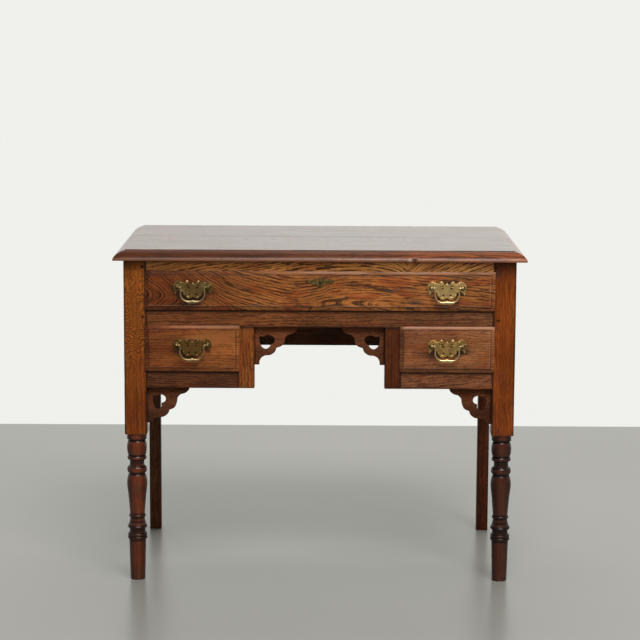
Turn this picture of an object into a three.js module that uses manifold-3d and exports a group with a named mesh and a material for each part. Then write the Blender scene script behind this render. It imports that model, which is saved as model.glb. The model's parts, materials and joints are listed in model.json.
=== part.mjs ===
// An oak lowboy: a moulded top on two turned front legs and two plain back legs,
// with one long drawer over a kneehole and a small drawer on each side of it.
// Millimetres. X runs along the front, Y towards the back and Z up.
// The origin is on the floor, under the middle of the top.

import * as THREE from "three";
import { mergeVertices } from "three/addons/utils/BufferGeometryUtils.js";
import Module from "manifold-3d";

const wasm = await Module();
wasm.setup();

// Overall sizes and the top
const height = 760;
const topWidth = 920;
const topDepth = 530;
const topThickness = 23;
const topOverhangSide = 22;
const topOverhangFront = 22;
const topOverhangBack = 3;
const topMouldRun = 26;
const topMouldStep = 1.5;
const topNoseHeight = 4.5;
const topBulgeShares = [0.73, 0.21];

// Front frame
const legSize = 50;
const turnedLength = 340.5;
const railDepth = 32;
const topRailHeight = 27;
const longBayHeight = 82;
const midRailHeight = 41.5;
const smallBayHeight = 97.5;
const lowerRailHeight = 41.5;
const kneeWidth = 292;
const innerStileWidth = 36;

// Sides, back and the boards inside
const rearLegSize = 28;
const sidePanelThickness = 16;
const panelTongueThickness = 8;
const panelTongueLength = 8;
const backBoardThickness = 12;
const backBoardHeight = 272;
const backBoardInset = 3;
const backGrooveDepth = 6;
const partitionThickness = 14;
const partitionTopGap = 4;
const runnerThickness = 16;
const runnerLedge = 16;
const innerRunnerWidth = 20;
const guideHeight = 14;

// Joints of the frame
const jointClearance = 0.3;
const tenonThickness = 10;
const tenonSetback = 12;
const tenonShoulder = 4;
const legTenonLength = 25;
const stileTenonLength = 18;
const cutOverrun = 2;

// Pierced brackets. Each run of an outline is a smooth curve and runs meet at cusps.
// Points are shares of the length and of the drop, measured from the inner corner.
const bracketThickness = 12;
const bracketSetback = 12;
const kneeBracketLength = 98;
const kneeBracketDrop = 87;
const kneeEdgeShares = [
  [[1, 0], [0.97, 0.09], [0.89, 0.18], [0.765, 0.217]],
  [[0.765, 0.217], [0.7, 0.3], [0.68, 0.42], [0.62, 0.51], [0.5, 0.563]],
  [[0.5, 0.563], [0.47, 0.66], [0.37, 0.745], [0.25, 0.76]],
  [[0.25, 0.76], [0.165, 0.81], [0.115, 0.91], [0.11, 1]],
];
const kneeHoleShares = [
  [[0.118, 0.255], [0.2, 0.27], [0.29, 0.235], [0.38, 0.24], [0.45, 0.3], [0.462, 0.38],
    [0.43, 0.45], [0.371, 0.478]],
  [[0.371, 0.478], [0.335, 0.56], [0.25, 0.608], [0.165, 0.555], [0.128, 0.46], [0.112, 0.36],
    [0.118, 0.255]],
];
const outerBracketLength = 96;
const outerBracketDrop = 82;
const outerEdgeShares = [
  [[1, 0], [0.98, 0.08], [0.9, 0.165], [0.786, 0.205]],
  [[0.786, 0.205], [0.715, 0.3], [0.69, 0.46], [0.635, 0.58], [0.524, 0.638]],
  [[0.524, 0.638], [0.49, 0.74], [0.4, 0.825], [0.3, 0.85]],
  [[0.3, 0.85], [0.2, 0.87], [0.13, 0.92], [0.105, 1]],
];
const outerHoleShares = [
  [[0.135, 0.24], [0.2, 0.245], [0.27, 0.222], [0.34, 0.215], [0.415, 0.265], [0.437, 0.345],
    [0.405, 0.43], [0.333, 0.47]],
  [[0.333, 0.47], [0.335, 0.545], [0.3, 0.61], [0.235, 0.63], [0.17, 0.57], [0.135, 0.42],
    [0.135, 0.24]],
];

// Turning of a front leg, from the square down to the floor. Each element has a form, its
// length as a share of the turned length, and its radius at the top, at its fullest or
// thinnest, and at the bottom as shares of half the square.
const turningShares = [
  ["straight", 0.0425, 0.888, 0.888, 0.888],
  ["straight", 0.006, 0.72, 0.72, 0.72],
  ["bead", 0.105, 0.7, 0.9, 0.72],
  ["bead", 0.03, 0.72, 0.87, 0.7],
  ["cove", 0.041, 0.7, 0.65, 0.7],
  ["bead", 0.047, 0.7, 0.9, 0.74],
  ["straight", 0.006, 0.69, 0.69, 0.69],
  ["vase", 0.277, 0.74, 0.92, 0.665],
  ["bead", 0.02, 0.665, 0.76, 0.66],
  ["flare", 0.058, 0.655, 0.665, 0.87],
  ["bead", 0.014, 0.84, 0.9, 0.74],
  ["cove", 0.035, 0.73, 0.71, 0.73],
  ["bead", 0.022, 0.76, 0.87, 0.82],
  ["bead", 0.0205, 0.82, 0.89, 0.77],
  ["straight", 0.276, 0.765, 0.72, 0.675],
];
const vasePeakShare = 0.26;
const vaseShoulderShare = 0.08;
const flareBendShare = 0.55;
const longElementShare = 0.05;

// Drawers
const drawerFrontThickness = 20;
const drawerSideThickness = 10;
const drawerBackThickness = 10;
const drawerBottomThickness = 6;
const drawerPlay = 1;
const drawerRideGap = 0.3;
const drawerBackGap = 12;
const sideTopDrop = 4;
const lipOverlap = 3;
const lipThickness = 3;
const lipMouldRun = 9.5;
const lipMouldRise = 3.2;
const lipMouldStep = 0.8;
const lipBulgeShares = [0.52, 0.34];
const bottomGrooveDepth = 5;
const bottomGrooveRise = 8;
const tailLength = 12;
const tailCount = 3;
const tailWidthShare = 0.72;
const tailSlopeShare = 1 / 7;

// Handles: the outline of the backplate is in shares of its half width and of its drop
const handleInset = 105;
const handleRise = 9.5;
const plateHalfWidth = 43.7;
const plateDrop = 27;
const plateThickness = 1.5;
const plateEdgeShares = [
  [[0, 0.43], [0.07, 0.3], [0.142, 0.207]],
  [[0.142, 0.207], [0.174, 0.39], [0.28, 0.533], [0.38, 0.46], [0.403, 0.326]],
  [[0.403, 0.326], [0.515, 0.348], [0.664, 0.489], [0.835, 0.452], [0.96, 0.274], [1, 0.037],
    [0.968, -0.222], [0.92, -0.444], [0.904, -0.685]],
  [[0.904, -0.685], [0.812, -0.481], [0.71, -0.333], [0.595, -0.278]],
  [[0.595, -0.278], [0.526, -0.407], [0.492, -0.63], [0.389, -0.833]],
  [[0.389, -0.833], [0.3, -0.98], [0.16, -1], [0, -0.87]],
];
const plateHoleRadius = 2.4;
const plateHoleShares = [[0.22, -0.09], [0.18, -0.66]];
const postSpacing = 69;
const postShankRadius = 2.4;
const postTail = 7;
const postFlangeRadius = 5.6;
const postFlangeThickness = 1.6;
const postNeckRadius = 2.9;
const postHeadRadius = 4.2;
const pivotReach = 10.5;
const bailWire = 3.6;
const bailGripHeight = 7.4;
const bailGripThickness = 4.8;
const bailGripHalf = 17;
const bailArmOffset = 26.4;
const bailDrop = 33.2;
const bailPinReach = 1.2;
const bailPathShares = [[1.07, 0], [1.015, -0.045], [0.995, -0.17], [1.02, -0.4], [0.97, -0.64],
  [0.79, -0.86], [0.48, -0.99], [0.16, -1.01], [0, -0.985]];

// Lock and escutcheon of the long drawer
const keyholeRise = 20;
const keyholeRadius = 2.1;
const keyholeSlotWidth = 2;
const keyholeSlotDrop = 6.5;
const escutcheonHalfWidth = 33;
const escutcheonHalfHeight = 12;
const escutcheonThickness = 1.2;
const escutcheonEdgeShares = [
  [[0, 1], [0.1, 0.72], [0.22, 0.5]],
  [[0.22, 0.5], [0.3, 0.72], [0.42, 0.66], [0.5, 0.34]],
  [[0.5, 0.34], [0.64, 0.42], [0.82, 0.6], [1, 0.36]],
  [[1, 0.36], [0.9, 0.06], [0.72, -0.2]],
  [[0.72, -0.2], [0.56, -0.2], [0.4, -0.4], [0.26, -0.42]],
  [[0.26, -0.42], [0.2, -0.72], [0.1, -0.88], [0, -1]],
];
const lockWidth = 52;
const lockHeight = 42;
const lockDepth = 9;
const boltWidth = 18;
const boltThickness = 4;
const boltLength = 26;
const boltTravel = 8;

// Steps along curves
const outlineSteps = 2;
const plateSteps = 1;
const mouldSteps = 6;
const beadSteps = 4;
const sweepSteps = 8;
const legSegments = 18;
const postSegments = 10;
const holeSegments = 8;
const bailSteps = 28;
const bailSides = 8;

// Places worked out from the sizes
const bodyHalf = topWidth / 2 - topOverhangSide;
const frontY = -topDepth / 2 + topOverhangFront;
const backY = topDepth / 2 - topOverhangBack;
const topUnder = height - topThickness;
const longBayTop = topUnder - topRailHeight;
const longBayBottom = longBayTop - longBayHeight;
const smallBayTop = longBayBottom - midRailHeight;
const smallBayBottom = smallBayTop - smallBayHeight;
const caseBottom = smallBayBottom - lowerRailHeight;
const legInner = bodyHalf - legSize;
const legBack = frontY + legSize;
const railBack = frontY + railDepth;
const kneeHalf = kneeWidth / 2;
const stileOuter = kneeHalf + innerStileWidth;
const panelInner = bodyHalf - sidePanelThickness;
const rearLegInner = panelInner - rearLegSize;
const rearLegFront = backY - rearLegSize;
const boardBack = backY - backBoardInset;
const boardFront = boardBack - backBoardThickness;
const boardBottom = topUnder - backBoardHeight;
const tenonFront = frontY + tenonSetback;
const tenonBack = tenonFront + tenonThickness;
const proudOfFrame = jointClearance + lipThickness + lipMouldRise;
const frontRear = drawerFrontThickness - proudOfFrame;
const drawerEnd = boardFront - drawerBackGap - frontY;
const handleOffset = legInner - handleInset;
const sides = [["left", -1], ["right", 1]];

// Turn a closed geometry into a solid that can be joined and cut
function asSolid(geometry) {
  const bare = new THREE.BufferGeometry();
  bare.setAttribute("position", geometry.getAttribute("position"));
  bare.setIndex(geometry.getIndex());
  const merged = mergeVertices(bare);
  const corners = merged.getIndex().array;
  const kept = [];
  for (let i = 0; i < corners.length; i += 3) {
    const [a, b, c] = corners.slice(i, i + 3);
    if (a !== b && b !== c && c !== a) {
      kept.push(a, b, c);
    }
  }
  const vertProperties = new Float32Array(merged.getAttribute("position").array);
  const triVerts = new Uint32Array(kept);
  return new wasm.Manifold(new wasm.Mesh({ numProp: 3, vertProperties, triVerts }));
}

// Turn a finished solid back into a geometry
function asGeometry(solid) {
  const mesh = solid.getMesh();
  const geometry = new THREE.BufferGeometry();
  geometry.setAttribute("position", new THREE.BufferAttribute(new Float32Array(mesh.vertProperties), 3));
  geometry.setIndex(new THREE.BufferAttribute(new Uint32Array(mesh.triVerts), 1));
  geometry.computeVertexNormals();
  return geometry;
}

// Low and high ends of a stretch on the left (-1) or the right (1) side
function span(side, near, far) {
  return side > 0 ? [near, far] : [-far, -near];
}

function block([x0, x1], [y0, y1], [z0, z1]) {
  const geometry = new THREE.BoxGeometry();
  const corner = geometry.getAttribute("position");
  for (let i = 0; i < corner.count; i += 1) {
    const x = corner.getX(i) < 0 ? x0 : x1;
    const y = corner.getY(i) < 0 ? y0 : y1;
    const z = corner.getZ(i) < 0 ? z0 : z1;
    corner.setXYZ(i, x, y, z);
  }
  return asSolid(geometry);
}

// Cut an outline through a thickness that runs along one axis. The outline is drawn
// in X and Z for axis y, in Y and Z for axis x, and in X and Y for axis z.
function sawn(outline, axis, from, to, steps = outlineSteps) {
  const { shape: rim, holes } = outline.extractPoints(steps);
  const flat = new THREE.Shape(THREE.ShapeUtils.isClockWise(rim) ? rim.reverse() : rim);
  for (const hole of holes) {
    flat.holes.push(new THREE.Path(THREE.ShapeUtils.isClockWise(hole) ? hole : hole.reverse()));
  }
  const geometry = new THREE.ExtrudeGeometry(flat, { depth: 1, bevelEnabled: false });
  const corner = geometry.getAttribute("position");
  for (let i = 0; i < corner.count; i += 1) {
    const first = corner.getX(i);
    const second = corner.getY(i);
    const near = corner.getZ(i) < 0.5;
    if (axis === "x") {
      corner.setXYZ(i, near ? from : to, first, second);
    } else if (axis === "y") {
      corner.setXYZ(i, first, near ? to : from, second);
    } else {
      corner.setXYZ(i, first, second, near ? from : to);
    }
  }
  return asSolid(geometry);
}

function polygon(points) {
  return new THREE.Shape(points.map(([a, b]) => new THREE.Vector2(a, b)));
}

// The right half of a plate's outline, followed by its mirror image
function bothHalves(runs) {
  const mirrored = runs.map((run) => run.map(([across, up]) => [-across, up]).reverse());
  return [...runs, ...mirrored.reverse()];
}

// Draw a closed outline of smooth runs that meet at cusps
function drawRuns(path, runs, place) {
  const [startShare] = runs[0];
  path.moveTo(...place(startShare));
  for (const run of runs) {
    path.splineThru(run.slice(1).map((share) => new THREE.Vector2(...place(share))));
  }
  return path;
}

function circle(x, z, radius) {
  const points = [];
  for (let i = 0; i < holeSegments; i += 1) {
    const angle = (i / holeSegments) * 2 * Math.PI;
    points.push([x + radius * Math.cos(angle), z + radius * Math.sin(angle)]);
  }
  return points;
}

// Points of an ovolo edge with a small step above it, from its outer foot inwards
function mouldedEdge(run, rise, step, bulgeShares) {
  const [runShare, dropShare] = bulgeShares;
  const curveRise = rise - step;
  const curve = new THREE.QuadraticBezierCurve(
    new THREE.Vector2(0, 0),
    new THREE.Vector2(run * (1 - runShare), curveRise * (1 - dropShare)),
    new THREE.Vector2(run, curveRise),
  );
  const points = curve.getPoints(mouldSteps).map((point) => [point.x, point.y]);
  points.push([run, rise]);
  return points;
}

const pieces = new THREE.Group();

function addPiece(parent, name, solid, finish) {
  const material = new THREE.MeshStandardMaterial(finish);
  const mesh = new THREE.Mesh(asGeometry(solid), material);
  mesh.name = name;
  parent.add(mesh);
}

const polishedOak = { color: 0x6d3a20, roughness: 0.42, metalness: 0 };
const warmOak = { color: 0x7d4a28, roughness: 0.42, metalness: 0 };
const darkOak = { color: 0x472515, roughness: 0.5, metalness: 0 };
const insideOak = { color: 0x8a6a45, roughness: 0.8, metalness: 0 };
const castBrass = { color: 0x8f7a42, roughness: 0.38, metalness: 1 };
const lockIron = { color: 0x3c3a38, roughness: 0.55, metalness: 1 };

// Top: the ends' section and the front's section meet in mitred corners
function topBoard() {
  const run = topMouldRun;
  const noseTop = topUnder + topNoseHeight;
  const edge = mouldedEdge(run, height - noseTop, topMouldStep, topBulgeShares);
  const half = topWidth / 2;
  const rightEdge = edge.map(([inwards, up]) => [half - inwards, noseTop + up]);
  const leftEdge = edge.map(([inwards, up]) => [inwards - half, noseTop + up]).reverse();
  const ends = polygon([[-half, topUnder], [half, topUnder], ...rightEdge, ...leftEdge]);
  const frontEdge = edge.map(([inwards, up]) => [inwards - topDepth / 2, noseTop + up]).reverse();
  const depth = polygon([
    [-topDepth / 2, topUnder],
    [topDepth / 2, topUnder],
    [topDepth / 2, height],
    ...frontEdge,
  ]);
  const alongDepth = sawn(ends, "y", -topDepth / 2, topDepth / 2);
  return alongDepth.intersect(sawn(depth, "x", -half, half));
}

// A tenon, or the mortise for it when grow is the clearance
function legTenon(side, [bottom, top], grow) {
  return block(
    span(side, legInner - cutOverrun, legInner + legTenonLength + grow),
    [tenonFront - grow, tenonBack + grow],
    [bottom + tenonShoulder - grow, top - tenonShoulder + grow],
  );
}

function lowerStileTenon(side, grow) {
  return block(
    span(side, stileOuter - stileTenonLength - grow, stileOuter + cutOverrun),
    [tenonFront - grow, tenonBack + grow],
    [caseBottom + tenonShoulder - grow, smallBayBottom - tenonShoulder + grow],
  );
}

function upperStileTenon(side, grow) {
  return block(
    span(side, kneeHalf + tenonShoulder - grow, stileOuter - tenonShoulder + grow),
    [tenonFront - grow, tenonBack + grow],
    [smallBayTop - cutOverrun, smallBayTop + stileTenonLength + grow],
  );
}

// Radius and height pairs for one element of the turning
function turningElement(form, top, bottom, radii) {
  const [first, middle, last] = radii;
  const steps = top - bottom > longElementShare * turnedLength ? sweepSteps : beadSteps;
  const points = [];
  if (form === "straight") {
    return [[first, top], [last, bottom]];
  }
  if (form === "vase") {
    const length = top - bottom;
    const curve = new THREE.SplineCurve([
      new THREE.Vector2(first, top),
      new THREE.Vector2(middle - (middle - first) / 3, top - length * vaseShoulderShare),
      new THREE.Vector2(middle, top - length * vasePeakShare),
      new THREE.Vector2((middle + last) / 2, (top + bottom) / 2 - length * vaseShoulderShare),
      new THREE.Vector2(last, bottom),
    ]);
    return curve.getPoints(steps).map((point) => [point.x, point.y]);
  }
  if (form === "flare") {
    const curve = new THREE.QuadraticBezierCurve(
      new THREE.Vector2(first, top),
      new THREE.Vector2(middle, top + (bottom - top) * flareBendShare),
      new THREE.Vector2(last, bottom),
    );
    return curve.getPoints(beadSteps).map((point) => [point.x, point.y]);
  }
  for (let i = 0; i <= steps; i += 1) {
    const angle = (i / steps) * Math.PI;
    const along = (1 - Math.cos(angle)) / 2;
    const base = first + (last - first) * along;
    points.push([base + (middle - base) * Math.sin(angle), top + (bottom - top) * along]);
  }
  return points;
}

function turnedLeg(side) {
  const total = turningShares.reduce((sum, [, lengthShare]) => sum + lengthShare, 0);
  const centreX = side * (bodyHalf - legSize / 2);
  const centreY = frontY + legSize / 2;
  const squareHalf = legSize / 2;
  const [, , collarShare] = turningShares[0];
  const pegTop = turnedLength + cutOverrun;
  const profile = [[0, pegTop], [squareHalf * collarShare, pegTop]];
  let top = turnedLength;
  for (const [form, lengthShare, ...radiusShares] of turningShares) {
    const bottom = Math.max(0, top - (lengthShare / total) * turnedLength);
    const radii = radiusShares.map((share) => share * squareHalf);
    profile.push(...turningElement(form, top, bottom, radii));
    top = bottom;
  }
  const [footRadius] = profile[profile.length - 1];
  profile[profile.length - 1] = [footRadius, 0];
  profile.push([0, 0]);
  const points = profile.reverse().map(([radius, z]) => new THREE.Vector2(radius, z));
  const turning = new THREE.LatheGeometry(points, legSegments);
  turning.rotateX(Math.PI / 2);
  turning.translate(centreX, centreY, 0);
  let leg = block(span(side, legInner, bodyHalf), [frontY, legBack], [turnedLength, topUnder]);
  leg = leg.add(asSolid(turning));
  const railHeights = [
    [longBayTop, topUnder],
    [smallBayTop, longBayBottom],
    [caseBottom, smallBayBottom],
  ];
  for (const heights of railHeights) {
    leg = leg.subtract(legTenon(side, heights, jointClearance));
  }
  const groove = block(
    span(side, panelInner - jointClearance, panelInner + panelTongueThickness + jointClearance),
    [legBack - panelTongueLength - jointClearance, legBack + cutOverrun],
    [caseBottom - jointClearance, topUnder + cutOverrun],
  );
  return leg.subtract(groove);
}

function rearLeg(side) {
  const post = block(span(side, rearLegInner, panelInner), [rearLegFront, backY], [0, topUnder]);
  const groove = block(
    span(side, rearLegInner - cutOverrun, rearLegInner + backGrooveDepth),
    [boardFront - jointClearance, boardBack + jointClearance],
    [boardBottom - jointClearance, topUnder + cutOverrun],
  );
  return post.subtract(groove);
}

function sidePanel(side) {
  const panel = block(span(side, panelInner, bodyHalf), [legBack, backY], [caseBottom, topUnder]);
  const tongue = block(
    span(side, panelInner, panelInner + panelTongueThickness),
    [legBack - panelTongueLength, legBack + cutOverrun],
    [caseBottom, topUnder],
  );
  return panel.add(tongue);
}

function backBoard() {
  const half = rearLegInner + backGrooveDepth - jointClearance;
  return block([-half, half], [boardFront, boardBack], [boardBottom, topUnder]);
}

// A rail of the front frame that runs from leg to leg
function fullRail(bottom, top) {
  let rail = block([-legInner, legInner], [frontY, railBack], [bottom, top]);
  for (const [, side] of sides) {
    rail = rail.add(legTenon(side, [bottom, top], 0));
  }
  return rail;
}

function topRail() {
  const boltMiddle = frontY + frontRear - lockDepth / 2;
  const halfSlot = boltThickness / 2 + drawerPlay;
  const mortise = block(
    [-boltWidth / 2 - drawerPlay, boltWidth / 2 + drawerPlay],
    [boltMiddle - halfSlot, boltMiddle + halfSlot],
    [longBayTop - cutOverrun, longBayTop + boltTravel + drawerPlay],
  );
  return fullRail(longBayTop, topUnder).subtract(mortise);
}

function midRail() {
  let rail = fullRail(smallBayTop, longBayBottom);
  for (const [, side] of sides) {
    rail = rail.subtract(upperStileTenon(side, jointClearance));
  }
  return rail;
}

function lowerRail(side) {
  const rail = block(span(side, stileOuter, legInner), [frontY, railBack], [caseBottom, smallBayBottom]);
  return rail.add(legTenon(side, [caseBottom, smallBayBottom], 0)).add(lowerStileTenon(side, 0));
}

function innerStile(side) {
  const stile = block(span(side, kneeHalf, stileOuter), [frontY, railBack], [caseBottom, smallBayTop]);
  return stile.add(upperStileTenon(side, 0)).subtract(lowerStileTenon(side, jointClearance));
}

function partition(side) {
  return block(
    span(side, stileOuter - partitionThickness, stileOuter),
    [railBack, boardFront],
    [caseBottom, longBayBottom - partitionTopGap],
  );
}

// A runner and the guide worked on it, let in round the front leg
function outerRunner(side, rideHeight) {
  const ledge = legInner - runnerLedge;
  const underside = rideHeight - runnerThickness;
  const plan = [
    [ledge, railBack],
    [legInner, railBack],
    [legInner, legBack],
    [panelInner, legBack],
    [panelInner, rearLegFront],
    [ledge, rearLegFront],
  ];
  const shelf = sawn(polygon(plan.map(([x, y]) => [side * x, y])), "z", underside, rideHeight);
  const guide = block(
    span(side, legInner, panelInner),
    [legBack, rearLegFront],
    [underside, rideHeight + guideHeight],
  );
  return shelf.add(guide);
}

function innerRunner(side) {
  return block(
    span(side, stileOuter, stileOuter + innerRunnerWidth),
    [railBack, boardFront],
    [smallBayBottom - runnerThickness, smallBayBottom],
  );
}

// A pierced bracket in the corner of an upright at cornerX and the underside of a rail
function piercedBracket(side, cornerX, railUnder, length, drop, edgeShares, holeShares) {
  const place = ([along, down]) => [side * (cornerX - along * length), railUnder - down * drop];
  const outline = drawRuns(new THREE.Shape(), edgeShares, place);
  outline.lineTo(...place([0, 1]));
  outline.lineTo(...place([0, 0]));
  outline.holes.push(drawRuns(new THREE.Path(), holeShares, place));
  const front = frontY + bracketSetback;
  return sawn(outline, "y", front, front + bracketThickness);
}

function kneeBracket(side) {
  return piercedBracket(side, kneeHalf, smallBayTop, kneeBracketLength, kneeBracketDrop,
    kneeEdgeShares, kneeHoleShares);
}

function outerBracket(side) {
  return piercedBracket(side, legInner, caseBottom, outerBracketLength, outerBracketDrop,
    outerEdgeShares, outerHoleShares);
}

// Drawers. A drawer's own frame has its origin at the foot of its bay, in the face of the front frame.
function lippedFront(bayWidth, bayHeight) {
  const lipBack = -jointClearance;
  const lipFace = lipBack - lipThickness;
  const edge = mouldedEdge(lipMouldRun, lipMouldRise, lipMouldStep, lipBulgeShares);
  const section = (low, high) => {
    const lipLow = low - lipOverlap;
    const lipHigh = high + lipOverlap;
    return [
      [low + drawerPlay, frontRear],
      [low + drawerPlay, lipBack],
      [lipLow, lipBack],
      ...edge.map(([inwards, out]) => [lipLow + inwards, lipFace - out]),
      ...edge.map(([inwards, out]) => [lipHigh - inwards, lipFace - out]).reverse(),
      [lipHigh, lipBack],
      [high - drawerPlay, lipBack],
      [high - drawerPlay, frontRear],
    ];
  };
  const across = polygon(section(-bayWidth / 2, bayWidth / 2));
  const upright = polygon(section(0, bayHeight).map(([z, y]) => [y, z]));
  const reach = bayWidth / 2 + lipOverlap;
  const slab = sawn(across, "z", -lipOverlap - cutOverrun, bayHeight + lipOverlap + cutOverrun);
  return slab.intersect(sawn(upright, "x", -reach - cutOverrun, reach + cutOverrun));
}

// Middles and half width of the tails between two heights
function tailRow(bottom, top) {
  const pitch = (top - bottom) / tailCount;
  const middles = Array.from({ length: tailCount }, (_, i) => bottom + (i + 1 / 2) * pitch);
  return { middles, half: (pitch * tailWidthShare) / 2 };
}

function drawerLayout(bayWidth, bayHeight) {
  const outer = bayWidth / 2 - drawerPlay;
  const inner = outer - drawerSideThickness;
  const sideBottom = drawerRideGap;
  const sideTop = bayHeight - sideTopDrop;
  const grooveBottom = sideBottom + bottomGrooveRise;
  const grooveTop = grooveBottom + drawerBottomThickness + 2 * jointClearance;
  return {
    outer,
    inner,
    sideBottom,
    sideTop,
    grooveBottom,
    grooveTop,
    frontTails: tailRow(sideBottom, sideTop),
    backTails: tailRow(grooveTop, sideTop),
    backFace: drawerEnd - drawerBackThickness,
  };
}

function drawerSide(side, layout) {
  const { outer, inner, sideBottom, sideTop, grooveBottom, grooveTop, backFace } = layout;
  const { frontTails, backTails } = layout;
  const tip = frontRear - tailLength;
  const frontFlare = tailLength * tailSlopeShare;
  const backFlare = drawerBackThickness * tailSlopeShare;
  const outline = [[frontRear, sideBottom]];
  for (const middle of frontTails.middles) {
    outline.push([frontRear, middle - frontTails.half + frontFlare], [tip, middle - frontTails.half]);
    outline.push([tip, middle + frontTails.half], [frontRear, middle + frontTails.half - frontFlare]);
  }
  outline.push([frontRear, sideTop], [backFace, sideTop]);
  for (const middle of [...backTails.middles].reverse()) {
    outline.push([backFace, middle + backTails.half - backFlare], [drawerEnd, middle + backTails.half]);
    outline.push([drawerEnd, middle - backTails.half], [backFace, middle - backTails.half + backFlare]);
  }
  outline.push([backFace, grooveTop], [drawerEnd, grooveTop], [drawerEnd, sideBottom]);
  const board = sawn(polygon(outline), "x", ...span(side, inner, outer));
  const groove = block(
    span(side, inner - cutOverrun, inner + bottomGrooveDepth),
    [tip - cutOverrun, drawerEnd + cutOverrun],
    [grooveBottom, grooveTop],
  );
  return board.subtract(groove);
}

// The sockets that one drawer side's tails sit in, from their narrow end at base to their tip
function sockets(side, layout, tails, base, tip, tipExtra) {
  const inwards = Math.sign(tip - base);
  const baseY = base - inwards * cutOverrun;
  const tipY = tip + inwards * tipExtra;
  const narrow = tails.half + jointClearance - Math.abs(tip - baseY) * tailSlopeShare;
  const wide = tails.half + jointClearance + tipExtra * tailSlopeShare;
  const across = span(side, layout.inner - jointClearance, layout.outer + cutOverrun);
  return tails.middles.map((middle) => {
    const low = [[baseY, middle - narrow], [tipY, middle - wide]];
    const high = [[tipY, middle + wide], [baseY, middle + narrow]];
    return sawn(polygon([...low, ...high]), "x", ...across);
  });
}

function drawerFront(bayWidth, bayHeight, layout, handlePlaces) {
  let front = lippedFront(bayWidth, bayHeight);
  const tip = frontRear - tailLength;
  for (const [, side] of sides) {
    for (const socket of sockets(side, layout, layout.frontTails, frontRear, tip, jointClearance)) {
      front = front.subtract(socket);
    }
  }
  const bottomHalf = layout.inner + bottomGrooveDepth;
  const groove = block(
    [-bottomHalf, bottomHalf],
    [frontRear - bottomGrooveDepth, frontRear + cutOverrun],
    [layout.grooveBottom, layout.grooveTop],
  );
  front = front.subtract(groove);
  for (const place of handlePlaces) {
    for (const [, side] of sides) {
      const x = place + (side * postSpacing) / 2;
      const hole = polygon(circle(x, bayHeight / 2 + handleRise, postShankRadius + jointClearance));
      front = front.subtract(sawn(hole, "y", -proudOfFrame - cutOverrun, frontRear + cutOverrun));
    }
  }
  return front;
}

function drawerBack(layout) {
  let back = block(
    [-layout.outer, layout.outer],
    [layout.backFace, drawerEnd],
    [layout.grooveTop + jointClearance, layout.sideTop],
  );
  const { backFace, backTails } = layout;
  for (const [, side] of sides) {
    for (const socket of sockets(side, layout, backTails, backFace, drawerEnd, cutOverrun)) {
      back = back.subtract(socket);
    }
    const ledge = block(
      span(side, layout.inner - jointClearance, layout.outer + cutOverrun),
      [backFace - cutOverrun, backFace + jointClearance],
      [layout.grooveTop, layout.sideTop + cutOverrun],
    );
    back = back.subtract(ledge);
  }
  return back;
}

function drawerBottom(layout) {
  const half = layout.inner + bottomGrooveDepth - jointClearance;
  const low = layout.grooveBottom + jointClearance;
  return block(
    [-half, half],
    [frontRear - bottomGrooveDepth + jointClearance, drawerEnd],
    [low, low + drawerBottomThickness],
  );
}

// Handles. A handle's own frame has its origin on the drawer's face, level with the bail's pivots.
function backplate() {
  const place = ([across, up]) => [across * plateHalfWidth, up * plateDrop];
  const outline = drawRuns(new THREE.Shape(), bothHalves(plateEdgeShares), place);
  for (const [, side] of sides) {
    const shank = circle((side * postSpacing) / 2, 0, postShankRadius + jointClearance);
    outline.holes.push(new THREE.Path(shank.map(([x, z]) => new THREE.Vector2(x, z))));
    for (const [across, up] of plateHoleShares) {
      const pierced = circle(side * across * plateHalfWidth, up * plateDrop, plateHoleRadius);
      outline.holes.push(new THREE.Path(pierced.map(([x, z]) => new THREE.Vector2(x, z))));
    }
  }
  return sawn(outline, "y", -jointClearance - plateThickness, -jointClearance, plateSteps);
}

function handlePost(side) {
  const seat = 2 * jointClearance + plateThickness;
  const tail = drawerFrontThickness + postTail;
  const flangeTop = seat + postFlangeThickness;
  const profile = [
    [0, -tail],
    [postShankRadius, -tail],
    [postShankRadius, seat],
    [postFlangeRadius, seat],
    [postFlangeRadius, seat + postFlangeThickness / 2],
    [postNeckRadius, flangeTop],
    [postNeckRadius, pivotReach - postHeadRadius],
  ];
  const neckAngle = Math.asin(postNeckRadius / postHeadRadius);
  for (let i = 1; i <= beadSteps; i += 1) {
    const angle = Math.PI - neckAngle - ((Math.PI - neckAngle) * i) / beadSteps;
    profile.push([postHeadRadius * Math.sin(angle), pivotReach + postHeadRadius * Math.cos(angle)]);
  }
  profile[profile.length - 1] = [0, pivotReach + postHeadRadius];
  const points = profile.map(([radius, y]) => new THREE.Vector2(radius, y));
  const geometry = new THREE.LatheGeometry(points, postSegments);
  geometry.rotateX(Math.PI);
  geometry.translate((side * postSpacing) / 2, 0, 0);
  const mouth = postSpacing / 2 - postHeadRadius - cutOverrun;
  const holeEnd = postSpacing / 2 + bailPinReach + jointClearance;
  const hole = polygon(circle(-pivotReach, 0, bailWire / 2 + jointClearance));
  return asSolid(geometry).subtract(sawn(hole, "x", ...span(side, mouth, holeEnd)));
}

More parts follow.
